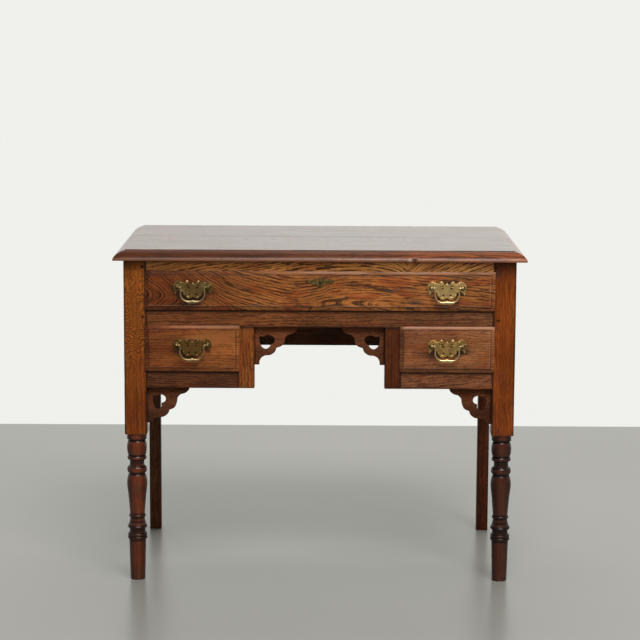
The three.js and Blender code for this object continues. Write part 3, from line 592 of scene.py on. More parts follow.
def soften(made, width, segments=2, angle=30, only=None):
    """Bevels the edges that are sharper than the angle."""
    sharp = [
        edge for edge in made.edges
        if len(edge.link_faces) == 2 and edge.calc_face_angle(0) > math.radians(angle)
        and (only is None or only(edge))
    ]
    bmesh.ops.bevel(
        made, geom=sharp, offset=width, offset_type="OFFSET", segments=segments,
        profile=0.5, affect="EDGES", material=-1, clamp_overlap=True,
    )


def slice_along(made, axis, low, high, step):
    """Cuts a piece across an axis, so that its faces can wander."""
    count = max(1, round((high - low) / step))
    normal = Vector([1.0 if i == axis else 0.0 for i in range(3)])
    for i in range(1, count):
        place = normal * (low + (high - low) * i / count)
        bmesh.ops.bisect_plane(made, geom=whole(made), plane_co=place, plane_no=normal)


def wander(made, amount, waves, seed):
    """Moves every point a little inside the piece's box, as hand work and wear do."""
    noise.seed_set(1)
    low = [min(vert.co[i] for vert in made.verts) for i in range(3)]
    high = [max(vert.co[i] for vert in made.verts) for i in range(3)]
    for vert in made.verts:
        spot = vert.co * waves + Vector((seed * 7.3, seed * 3.1, 0))
        fine = noise.noise_vector(vert.co * waves * 5)
        moved = vert.co + (noise.noise_vector(spot) * 0.75 + fine * 0.25) * amount
        vert.co = [min(max(moved[i], low[i]), high[i]) for i in range(3)]


def dent(made, spot, reach, push):
    """Pushes in the points near a spot, most of all at the spot."""
    for vert in made.verts:
        distance = (vert.co - spot).length
        if distance < reach:
            vert.co += push * (1 - distance / reach)


def new_box(low, high):
    """A bmesh box between two corners."""
    made = bmesh.new()
    place = Matrix.Translation((low + high) / 2) @ Matrix.Diagonal((*(high - low), 1.0))
    bmesh.ops.create_cube(made, size=1.0, matrix=place)
    return made


def boss(made, spot, radius, rise):
    """Adds a flattened knob."""
    place = Matrix.Translation(spot) @ Matrix.Diagonal((radius, rise, radius, 1.0))
    bmesh.ops.create_uvsphere(made, u_segments=14, v_segments=8, radius=1.0, matrix=place)


def rod(middle, length, segments, *radii):
    """A round rod from front to back."""
    made = bmesh.new()
    bmesh.ops.create_cone(
        made, cap_ends=True, segments=segments, radius1=radii[0], radius2=radii[-1],
        depth=length,
        matrix=Matrix.Translation(middle) @ Matrix.Rotation(math.pi / 2, 4, "X"),
    )
    return made


def board(name, node, box, look, arris, seed, step=24 * MM, hollow=None):
    """A planed oak board with worn edges, and a hollow cut out of it if one is given."""
    low, high = box
    material = oak(box=box, **{"name": f"{node}_oak", **look})
    made = new_box(low, high)
    soften(made, arris, 3)
    size = high - low
    axis = max(range(3), key=lambda i: size[i])
    slice_along(made, axis, low[axis], high[axis], step)
    wander(made, bpy.context.scene.lowboy_wood.wander, 9.0, seed)
    if hollow is not None:
        made = cut_away(made, hollow)
    finish_piece(name, made, material, [node])


def clipped(node, x=None, y=None, z=None):
    """A node's box, cut to ranges along some of its axes."""
    low, high = (Vector(corner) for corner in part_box(node))
    for axis, reach in enumerate((x, y, z)):
        if reach is not None:
            low[axis], high[axis] = reach
    return low, high


def stacked_rings(rings):
    """A stack of four-cornered rings, joined and closed at both ends."""
    made = bmesh.new()
    last = None
    for corners in rings:
        verts = [made.verts.new(corner) for corner in corners]
        edges = [made.edges.new((verts[i], verts[(i + 1) % 4])) for i in range(4)]
        if last is None:
            made.faces.new(verts)
        else:
            bmesh.ops.bridge_loops(made, edges=last + edges)
        last = edges
    made.faces.new(verts)
    bmesh.ops.recalc_face_normals(made, faces=made.faces)
    return made


def mould_points(settings, rise, bulge, count):
    """Points of a quarter-round edge with a small step above it."""
    run, curve_rise = settings.mould_run, rise - settings.mould_step
    middle = (run * (1 - bulge[0]), curve_rise * (1 - bulge[1]))
    points = []
    for i in range(count + 1):
        t = i / count
        bend = 2 * t * (1 - t)
        points.append((bend * middle[0] + t * t * run, bend * middle[1] + t * t * curve_rise))
    return points + [(run, rise)]


def spun(made, profile, centre, axis, segments):
    """Spins a profile of radius and height pairs round an axis and joins it to made."""
    axis = Vector(axis)
    verts = [made.verts.new(centre + Vector((r, 0, 0)) + axis * h) for r, h in profile]
    edges = [made.edges.new(pair) for pair in zip(verts, verts[1:])]
    bmesh.ops.spin(
        made, geom=verts + edges, cent=centre, axis=axis, angle=2 * math.pi, steps=segments,
        use_merge=True, use_duplicate=False,
    )
    bmesh.ops.remove_doubles(made, verts=made.verts, dist=0.00001)
    bmesh.ops.recalc_face_normals(made, faces=made.faces)


def curve_mesh(splines, flat=True, **settings):
    """Makes a curve from lists of points and returns it as bmesh data."""
    curve = bpy.data.curves.new("outline", "CURVE")
    curve.dimensions = "2D" if flat else "3D"
    for key, value in settings.items():
        setattr(curve, key, value)
    for points in splines:
        spline = curve.splines.new("POLY")
        spline.points.add(len(points) - 1)
        for point, values in zip(spline.points, points):
            place = (*values, 0.0) if flat else values[:3]
            point.co = (*place, 1.0)
            if not flat:
                point.radius = values[3]
        spline.use_cyclic_u = flat
    holder = as_object("outline", curve)
    bpy.context.view_layer.update()
    made = evaluated(holder)
    bmesh.ops.remove_doubles(made, verts=made.verts, dist=0.000005)
    bmesh.ops.recalc_face_normals(made, faces=made.faces)
    bpy.data.objects.remove(holder)
    bpy.data.curves.remove(curve)
    return made


def stand_up(made, front):
    """Turns a flat shape drawn in X and Y upright, with its front face at front."""
    upright = Matrix.Rotation(math.pi / 2, 3, "X")
    bmesh.ops.rotate(made, verts=made.verts, cent=(0, 0, 0), matrix=upright)
    shift = front - min(vert.co.y for vert in made.verts)
    bmesh.ops.translate(made, verts=made.verts, vec=(0, shift, 0))


def pierced(outlines, box, rounding):
    """An upright plate with rounded edges; the outlines after the first are holes."""
    low, high = box
    made = curve_mesh(
        outlines, fill_mode="BOTH", extrude=(high.y - low.y) / 2 - rounding,
        bevel_depth=rounding, bevel_resolution=2, offset=-rounding,
    )
    stand_up(made, low.y)
    return made


def add_line(made, outline, front, radius, offset=0.0):
    """Adds a raised line along an outline, offset inwards when that is below 0."""
    line = curve_mesh(
        [outline], fill_mode="NONE", bevel_depth=radius, bevel_resolution=1, offset=offset
    )
    stand_up(line, front)
    merge_into(made, line)


def smooth_run(points, steps):
    """A smooth line through the points of one run, without its first point."""
    line = []
    count = len(points)
    for i in range(count - 1):
        a = points[max(i - 1, 0)]
        b, c = points[i], points[i + 1]
        d = points[min(i + 2, count - 1)]
        for j in range(1, steps + 1):
            t = j / steps
            line.append(tuple(
                0.5 * (2 * b[k] + (c[k] - a[k]) * t
                       + (2 * a[k] - 5 * b[k] + 4 * c[k] - d[k]) * t * t
                       + (3 * b[k] - a[k] - 3 * c[k] + d[k]) * t ** 3)
                for k in range(len(b))
            ))
    return line


def closed_outline(runs, place, steps):
    """A closed outline of smooth runs that meet at cusps, put in place."""
    return [place(point) for run in runs for point in smooth_run(run, steps)]


def inset(outline, distance):
    """An outline drawn inside another, without loops at its sharp tips."""
    points = [Vector(point) for point in outline]
    pairs = list(zip(points, points[1:] + points[:1]))
    area = sum(a.x * b.y - a.y * b.x for a, b in pairs)
    inwards = distance if area > 0 else -distance
    kept = []
    for i, point in enumerate(points):
        way = (points[(i + 1) % len(points)] - points[i - 1]).normalized()
        moved = point + Vector((-way.y, way.x)) * inwards
        if min((moved - other).length for other in points) > distance * 0.97:
            kept.append(tuple(moved))
    return kept


def both_halves(runs):
    """The right half of an outline, followed by its mirror image."""
    mirrored = [[(-a, b) for a, b in reversed(run)] for run in reversed(runs)]
    return list(runs) + mirrored


def merge_into(made, other):
    """Adds other to made."""
    mesh = as_mesh("part", other)
    made.from_mesh(mesh)
    bpy.data.meshes.remove(mesh)


def cut_away(made, cutter):
    """Takes one closed shape out of another."""
    body, tool = (as_object("part", as_mesh("part", part)) for part in (made, cutter))
    cut = body.modifiers.new("cut", "BOOLEAN")
    cut.operation = "DIFFERENCE"
    cut.solver = "EXACT"
    cut.object = tool
    result = evaluated(body)
    for holder in (body, tool):
        mesh = holder.data
        bpy.data.objects.remove(holder)
        bpy.data.meshes.remove(mesh)
    return result


def repaint(node, material):
    """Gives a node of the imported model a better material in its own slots."""
    for place in frame["nodes"][node].material_slots:
        place.link = "OBJECT"
        place.material = material


def pivot_of(handle):
    """Where a bail turns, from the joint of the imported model."""
    for joint in frame["record"]["behaviour"]["joints"]:
        if joint["child"] == f"{handle}_bail":
            return Vector(joint["pos_m"])
    raise ValueError(f"no joint turns {handle}_bail")


# Turning of a leg: form, length, and radii at the top, middle and foot, as shares
TURNING = (
    ("straight", 0.0425, 0.888, 0.888, 0.888), ("straight", 0.006, 0.72, 0.72, 0.72),
    ("bead", 0.105, 0.7, 0.9, 0.72), ("bead", 0.03, 0.72, 0.87, 0.7),
    ("cove", 0.041, 0.7, 0.65, 0.7), ("bead", 0.047, 0.7, 0.9, 0.74),
    ("straight", 0.006, 0.69, 0.69, 0.69), ("vase", 0.277, 0.74, 0.92, 0.665),
    ("bead", 0.02, 0.665, 0.76, 0.66), ("flare", 0.058, 0.655, 0.665, 0.87),
    ("bead", 0.014, 0.84, 0.9, 0.74), ("cove", 0.035, 0.73, 0.71, 0.73),
    ("bead", 0.022, 0.76, 0.87, 0.82), ("bead", 0.0205, 0.82, 0.89, 0.77),
    ("straight", 0.276, 0.765, 0.72, 0.675),
)
TURNED_LENGTH = sum(row[1] for row in TURNING)

# Outlines of the brackets and their holes, as shares of length and drop from the corner
BRACKETS = {
    "knee": (
        (
            ((1, 0), (0.97, 0.09), (0.89, 0.18), (0.765, 0.217)),
            ((0.765, 0.217), (0.7, 0.3), (0.68, 0.42), (0.62, 0.51), (0.5, 0.563)),
            ((0.5, 0.563), (0.47, 0.66), (0.37, 0.745), (0.25, 0.76)),
            ((0.25, 0.76), (0.165, 0.81), (0.115, 0.91), (0.11, 1)),
        ),
        (
            ((0.118, 0.255), (0.2, 0.27), (0.29, 0.235), (0.38, 0.24), (0.45, 0.3),
             (0.462, 0.38), (0.43, 0.45), (0.371, 0.478)),
            ((0.371, 0.478), (0.335, 0.56), (0.25, 0.608), (0.165, 0.555), (0.128, 0.46),
             (0.112, 0.36), (0.118, 0.255)),
        ),
    ),
    "outer": (
        (
            ((1, 0), (0.98, 0.08), (0.9, 0.165), (0.786, 0.205)),
            ((0.786, 0.205), (0.715, 0.3), (0.69, 0.46), (0.635, 0.58), (0.524, 0.638)),
            ((0.524, 0.638), (0.49, 0.74), (0.4, 0.825), (0.3, 0.85)),
            ((0.3, 0.85), (0.2, 0.87), (0.13, 0.92), (0.105, 1)),
        ),
        (
            ((0.135, 0.24), (0.2, 0.245), (0.27, 0.222), (0.34, 0.215), (0.415, 0.265),
             (0.437, 0.345), (0.405, 0.43), (0.333, 0.47)),
            ((0.333, 0.47), (0.335, 0.545), (0.3, 0.61), (0.235, 0.63), (0.17, 0.57),
             (0.135, 0.42), (0.135, 0.24)),
        ),
    ),
}

# Outlines of the brass, as shares of its half width and of its drop or half height
PLATE_EDGE = (
    ((0, 0.43), (0.07, 0.3), (0.142, 0.207)),
    ((0.142, 0.207), (0.174, 0.39), (0.28, 0.533), (0.38, 0.46), (0.403, 0.326)),
    ((0.403, 0.326), (0.515, 0.348), (0.664, 0.489), (0.835, 0.452), (0.96, 0.274), (1, 0.037),
     (0.968, -0.222), (0.92, -0.444), (0.904, -0.685)),
    ((0.904, -0.685), (0.812, -0.481), (0.71, -0.333), (0.595, -0.278)),
    ((0.595, -0.278), (0.526, -0.407), (0.492, -0.63), (0.389, -0.833)),
    ((0.389, -0.833), (0.3, -0.98), (0.16, -1), (0, -0.87)),
)
PLATE_HOLES = ((0.22, -0.09), (0.18, -0.66))
PLATE_SLOT = ((0.15, 0.21), (0.2, 0.13), (0.28, 0.08), (0.38, 0.07))
PLATE_KNOBS = (
    (0.29, 0.4, 2.9), (0.62, 0.3, 2.4), (0.92, 0.1, 2.0), (0.9, -0.52, 2.0),
    (0.56, -0.36, 1.7), (0.25, -0.87, 2.3), (0.43, -0.62, 1.6),
)
ESCUTCHEON_EDGE = (
    ((0, 1), (0.1, 0.72), (0.22, 0.5)),
    ((0.22, 0.5), (0.3, 0.72), (0.42, 0.66), (0.5, 0.34)),
    ((0.5, 0.34), (0.64, 0.42), (0.82, 0.6), (1, 0.36)),
    ((1, 0.36), (0.9, 0.06), (0.72, -0.2)),
    ((0.72, -0.2), (0.56, -0.2), (0.4, -0.4), (0.26, -0.42)),
    ((0.26, -0.42), (0.2, -0.72), (0.1, -0.88), (0, -1)),
)
BAIL_PATH = (
    (1.07, 0), (1.015, -0.045), (0.995, -0.17), (1.02, -0.4), (0.97, -0.64),
    (0.79, -0.86), (0.48, -0.99), (0.16, -1.01), (0, -0.985),
)


def joints_of_turning():
    """Heights of the turning's hollows, where one form ends and the next begins."""
    heights, top = [], 1.0
    for form, length, *_ in TURNING[:-1]:
        share = length / TURNED_LENGTH
        if form in ("cove", "flare"):
            heights.append((top - share / 2) * SQUARE_FOOT)
        top -= share
        heights.append(top * SQUARE_FOOT)
    return heights


def turning_points(square_half):
    """Radius and height pairs of the turned leg, from the square down to the floor."""
    top = SQUARE_FOOT
    points = [(0, top + 2 * MM), (TURNING[0][2] * square_half, top + 2 * MM)]
    for form, length, *radii in TURNING:
        first, middle, last = (share * square_half for share in radii)
        foot = max(0.0, top - length / TURNED_LENGTH * SQUARE_FOOT)
        fall = foot - top
        if form == "straight":
            points += [(first, top), ((first + last) / 2, (top + foot) / 2), (last, foot)]
        elif form == "vase":
            shape = (
                (first, top),
                (middle - (middle - first) / 3, top + fall * 0.08),
                (middle, top + fall * 0.26),
                ((middle + last) / 2, top + fall * 0.58),
                (last, foot),
            )
            points += [shape[0]] + smooth_run(shape, 8)
        elif form == "flare":
            for i in range(9):
                t = i / 8
                bend = 2 * t * (1 - t)
                points.append((
                    (1 - t) ** 2 * first + bend * middle + t * t * last,
                    top + fall * (bend * 0.55 + t * t),
                ))
        else:
            count = 14 if length > 0.04 else 9
            for i in range(count + 1):
                turn = math.pi * i / count
                share = (1 - math.cos(turn)) / 2
                base = first + (last - first) * share
                points.append((base + (middle - base) * math.sin(turn), top + fall * share))
        top = foot
    # The foot's edge is worn round
    radius = points[-1][0]
    return points[:-1] + [(radius, 1.2 * MM), (radius - 0.8 * MM, 0.0), (0.0, 0.0)]


class LOWBOY_OT_top(Operator):
    """Builds the moulded top"""

    bl_idname = "lowboy.top"
    bl_label = "Top"

    def execute(self, context):
        settings = context.scene.lowboy_top
        low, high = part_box("top")
        nose = low.z + settings.nose_height
        edge = mould_points(settings, high.z - nose, (0.73, 0.21), 12)
        rings = []
        for inwards, z in [(0.0, low.z)] + [(inwards, nose + up) for inwards, up in edge]:
            left, right, front = low.x + inwards, high.x - inwards, low.y + inwards
            rings.append([
                (left, front, z), (right, front, z), (right, high.y, z), (left, high.y, z),
            ])
        made = stacked_rings(rings)
        soften(made, 0.5 * MM, 2, 24)
        slice_along(made, 0, low.x, high.x, 20 * MM)
        slice_along(made, 1, low.y, high.y, 30 * MM)
        wander(made, 0.35 * MM, 11.0, 1)
        chip = Vector((0.209, low.y, nose - 1 * MM))
        slice_along(made, 0, chip.x - 9 * MM, chip.x + 9 * MM, 3 * MM)
        dent(made, chip, 7 * MM, Vector((0, 3 * MM, 1 * MM)))
        front = (low.y - high.y) / 2
        material = oak(
            "top_oak", (low, high), seed=3, rings=hearted(0.03, 0.04, 0.02, 0.05),
            ring=0.007, figure=0.8, light=(0.26, 0.078, 0.022), gloss=0.3, coat=0.22,
            # Painted light on the nose: darker at the left end and much lighter at the right
            fades=((0.05, -0.32, (0.66, 0.45, 0.2)), (0.0, 0.36, (2.6, 2.1, 1.6))),
            redness=0.3, grime=0.3, pore_depth=0.0001, polish=0.86, bends=(6, 14, 14),
            seam=settings.joint_y, streaks=(16, 190, 60),
            # Painted shade on the moulding below the flat, a grey-brown flat, and a painted
            # highlight low on the nose
            bands=(
                (high.z - 0.0006, high.z - 0.0016, 0.75, None),
                (high.z - 0.0014, high.z - 0.0006, 0.72, (0.08, 0.066, 0.055)),
                (low.z + 0.0075, low.z + 0.004, 0.3, (0.5, 0.23, 0.13)),
            ),
            stains=(
                (0.2, front, 0.006, 0.003, 0.6, (0.42, 0.28, 0.2)),
                (0.209, front, 0.007, 0.005, 1.0, (0.012, 0.007, 0.005)),
            ),
        )
        finish_piece("top_board", made, material, ["top"])
        return {"FINISHED"}


class LOWBOY_OT_front(Operator):
    """Builds the rails and the inner stiles of the front frame"""

    bl_idname = "lowboy.front"
    bl_label = "Rails and stiles"

    def execute(self, context):
        between_legs = (-LEG_INNER, LEG_INNER)
        low, high = clipped("top_rail", x=between_legs)
        # Painted light and shade: the rail's pale colour lifts the shade under the top, it is
        # lighter at the right and darker at the left end, and the bands paint the top's shadow
        # under the nose
        look = dict(
            seed=5, rings=feathered(0.22, 0.196, 0.09, 0.08), ring=0.0062, figure=0.9,
            light=(0.82, 0.3, 0.075), deep=(0.15, 0.054, 0.018), grime=0.5, redness=0.3,
            fades=((0.0, 0.36, (1.03, 1.15, 1.36)), (-0.27, -0.38, (0.72, 0.74, 0.8))),
            warp=0.006, face="side",
            bands=(
                (high.z - 0.013, high.z, 0.5, None), (high.z - 0.006, high.z - 0.001, 0.85, None),
            ),
        )
        # The lock's bolt rises into a pocket of this rail
        bolt_low, bolt_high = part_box("lock_bolt")
        room = Vector((1, 1, 0)) * MM
        pocket = new_box(
            Vector((*bolt_low.xy, low.z - 1 * MM)) - room,
            Vector((*bolt_high.xy, low.z + 10 * MM)) + room,
        )
        board("rail_top", "top_rail", (low, high), look, 0.5 * MM, 1, hollow=pocket)

        # Painted sheen towards the right, and a painted shadow under the long drawer's lip
        look = dict(
            seed=9, rings=sawn(0.01), ring=0.006, light=(0.19, 0.06, 0.017),
            deep=(0.072, 0.024, 0.01), grime=0.7, face="side", streaks=(60, 520, 60),
            fades=((-0.1, 0.3, (1.06, 1.24, 1.6)),), bands=((0.613, 0.6245, 0.9, None),),
        )
        box = clipped("mid_rail", x=between_legs)
        board("rail_middle", "mid_rail", box, look, 0.7 * MM, 2)

        tones = (
            dict(light=(0.11, 0.036, 0.013), deep=(0.045, 0.016, 0.008)),
            dict(light=(0.2, 0.071, 0.029), deep=(0.08, 0.03, 0.013)),
        )
        for index, (hand, side) in enumerate(SIDES):
            node = f"lower_rail_{hand}"
            box = clipped(node, x=sorted((side * STILE_HIGH.x, side * LEG_INNER)))
            # The band is a painted shadow under the small drawers' lips
            look = dict(
                seed=13 + index, rings=sawn(0.08 * side), ring=0.006, figure=0.7, grime=0.6,
                face="side", bands=((0.476, 0.4855, 0.9, None),), streaks=(50, 430, 60),
                **tones[index],
            )
            board(f"rail_lower_{hand}", node, box, look, 0.7 * MM, 3 + index)

        tones = (
            dict(light=(0.24, 0.07, 0.013), deep=(0.09, 0.026, 0.009)),
            dict(light=(0.1, 0.024, 0.006), deep=(0.045, 0.013, 0.005)),
        )
        for index, (hand, _) in enumerate(SIDES):
            node = f"inner_stile_{hand}"
            box = clipped(node, z=(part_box(node)[0].z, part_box("mid_rail")[0].z))
            # The band is painted shade just under the middle rail
            look = dict(
                axis="z", seed=17 + index, rings=sawn(0.03), ring=0.007, figure=0.55,
                grime=0.7, face="side", coat=0.04, bands=((0.577, 0.586, 0.6, None),),
                **tones[index],
            )
            board(f"stile_inner_{hand}", node, box, look, 0.9 * MM, 5 + index)
        return {"FINISHED"}


class LOWBOY_OT_legs(Operator):
    """Builds the turned front legs and the plain back legs"""

    bl_idname = "lowboy.legs"
    bl_label = "Legs"

    def execute(self, context):
        front_looks = (
            dict(
                light=(0.32, 0.09, 0.011), deep=(0.1, 0.029, 0.007),
                flames=(0.235, 0.14, 0.85), tint=(1.14, 0.8, 0.3),
                fades=((0.3, -0.03, (0.6, 0.5, 0.4)), (-0.2, -0.26, (0.6, 0.5, 0.12))),
                stains=((-0.161, 0.0, 0.014, 0.2, 0.4),),
            ),
            dict(
                light=(0.225, 0.048, 0.005), deep=(0.07, 0.016, 0.004), tint=(0.52, 0.33, 0.09),
                fades=((0.0, -0.1, (0.7, 0.85, 1.0)), (-0.2, -0.26, (1.4, 1.3, 0.9))),
                stains=((0.34, 0.018, 0.02, 0.014, 0.7), (0.22, 0.02, 0.012, 0.01, 0.6)),
            ),
        )
        rear_lights = ((0.1, 0.033, 0.01), (0.08, 0.017, 0.004))
        for index, (hand, _) in enumerate(SIDES):
            self.front_leg(context.scene.lowboy_legs, index, hand, front_looks[index])
            node = f"rear_leg_{hand}"
            look = dict(
                axis="z", seed=25 + index, figure=0.5, light=rear_lights[index],
                deep=(0.036, 0.009, 0.003), gloss=0.42, grime=0.4,
            )
            board(f"leg_rear_{hand}", node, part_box(node), look, 1.4 * MM, 7 + index)
        return {"FINISHED"}

    def front_leg(self, settings, index, hand, look):
        """A leg, square above and turned below."""
        node = f"front_leg_{hand}"
        low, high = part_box(node)
        made = new_box(Vector((low.x, low.y, SQUARE_FOOT)), high)
        soften(
            made, settings.arris, 3,
            only=lambda edge: abs(edge.verts[0].co.z - edge.verts[1].co.z) > 0.1,
        )
        soften(made, 0.5 * MM, 2, 60)
        slice_along(made, 2, SQUARE_FOOT, high.z, 18 * MM)
        wander(made, 0.3 * MM, 12.0, index)
        if hand == "left":
            nick = Vector((low.x, low.y, 0.474))
            dent(made, nick, 9 * MM, Vector((1.8 * MM, 0, 0)))
        half = (high.x - low.x) / 2
        turned = bmesh.new()
        centre = Vector((low.x + half, low.y + half, 0))
        spun(turned, turning_points(half), centre, (0, 0, 1), settings.segments)
        merge_into(made, turned)
        material = oak(
            f"{node}_oak", (low, high), axis="z", seed=21 + index, rings=sawn(0.012, 0.7),
            ring=0.008, figure=0.4, gloss=0.34, coat=0.15, sheen=0.08, grime=0.9, edge=0.005,
            grooves=joints_of_turning(), face="side", streaks=(30, 520, 60),
            turned=SQUARE_FOOT,
            # Painted shadow of the top on the leg's head; below the square the turned part is
            # darker
            bands=(
                (0.715, 0.737, 0.6, None), (0.731, 0.736, 0.7, None),
                (SQUARE_FOOT + 0.001, SQUARE_FOOT - 0.003, 0.45, (0.05, 0.016, 0.008)),
            ),
            **look,
        )
        finish_piece(f"leg_front_{hand}", made, material, [node])


class LOWBOY_OT_case(Operator):
    """Builds the side panels and the back, and finishes the boards inside"""

    bl_idname = "lowboy.case"
    bl_label = "Case"

    def execute(self, context):
        for index, (hand, _) in enumerate(SIDES):
            node = f"side_panel_{hand}"
            look = dict(
                axis="y", seed=31 + index, face="side", rings=hearted(0.03, 0.05, 0.1, 0.2),
                ring=0.007, figure=0.85, light=(0.22, 0.07, 0.016), grime=0.6,
            )
            box = clipped(node, y=(LEG_HIGH.y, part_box(node)[1].y))
            board(f"side_{hand}", node, box, look, 0.8 * MM, 9 + index, 30 * MM)
        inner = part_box("rear_leg_right")[0].x
        look = dict(
            name="back_oak", seed=35, rings=hearted(0.04, 0.03, 0.05, 0.08), ring=0.009,
            figure=0.6, light=(0.095, 0.035, 0.018), deep=(0.04, 0.016, 0.009), gloss=0.62,
            coat=0.0, pore_depth=0.0004, grime=0.4, face="side",
        )
        box = clipped("back_board", x=(-inner, inner))
        board("back", "back_board", box, look, 0.8 * MM, 11, 30 * MM)

        raw = dict(
            light=(0.36, 0.2, 0.1), deep=(0.2, 0.1, 0.045), vein=(0.08, 0.045, 0.025),
            red=(0.33, 0.17, 0.08),
        )
        dark = dict(
            light=(0.135, 0.062, 0.032), deep=(0.068, 0.03, 0.016), vein=(0.02, 0.01, 0.006),
            red=(0.09, 0.036, 0.018),
        )
        inside = []
        for hand, _ in SIDES:
            for part in ("partition", "long_runner", "small_runner_outer", "small_runner_inner"):
                inside.append((f"{part}_{hand}", dark))
        for drawer in DRAWERS:
            for part in ("side_left", "side_right", "back", "bottom"):
                inside.append((f"{drawer}_{part}", raw))
        for index, (node, look) in enumerate(inside):
            across = node.endswith(("_back", "_bottom"))
            material = oak(
                f"{node}_oak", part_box(node), axis="x" if across else "y", seed=41 + index,
                rings=hearted(0.02, 0.05, 0.05), ring=0.007, gloss=0.66, coat=0.0,
                face="top" if node.endswith("_bottom") else "side", pore_depth=0.0003,
                grime=0.45, figure=0.45, **look,
            )
            repaint(node, material)
        for node in ("lock_case", "lock_bolt"):
            repaint(node, iron(f"{node}_iron"))
        return {"FINISHED"}


class LOWBOY_OT_brackets(Operator):
    """Builds the four pierced brackets"""

    bl_idname = "lowboy.brackets"
    bl_label = "Brackets"

    def execute(self, context):
        for index, (hand, side) in enumerate(SIDES):
            self.bracket("knee", hand, side, STILE_LOW.x, 1.05, 61 + index)
            self.bracket("outer", hand, side, LEG_INNER, 0.8, 63 + index)
        return {"FINISHED"}

    def bracket(self, place, hand, side, corner, tone, seed):
        """One bracket, drawn from its corner."""
        node = f"{place}_bracket_{hand}"
        low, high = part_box(node)
        length, drop = high.x - low.x, high.z - low.z

        def put(point):
            along, down = point
            return (side * (corner - along * length), high.z - down * drop)

        edge, hole = BRACKETS[place]
        outline = closed_outline(edge, put, 7) + [put((0, 1)), put((0, 0)), put((1, 0))]
        made = pierced([outline, closed_outline(hole, put, 5)], (low, high), 0.7 * MM)
        slice_along(made, 0, low.x, high.x, 6 * MM)
        slice_along(made, 2, low.z, high.z, 6 * MM)
        material = oak(
            f"{node}_oak", (low, high), seed=seed, rings=sawn(0.3 * side), ring=0.006,
            figure=0.5, face="side", streaks=(70, 520, 60), grime=0.7, gloss=0.7, coat=0.0,
            # Painted shade on the lower part of the bracket and on the hole's walls behind its
            # front
            bands=((high.z - 0.35 * drop, high.z - 0.75 * drop, 0.5, None),),
            light=shade((0.16, 0.052, 0.022), tone), deep=shade((0.065, 0.023, 0.011), tone),
            sheen=0.06, sunk=(low.y + 0.3 * MM, low.y + 2.5 * MM), edge=0.004,
        )
        finish_piece(f"bracket_{place}_{hand}", made, material, [node])


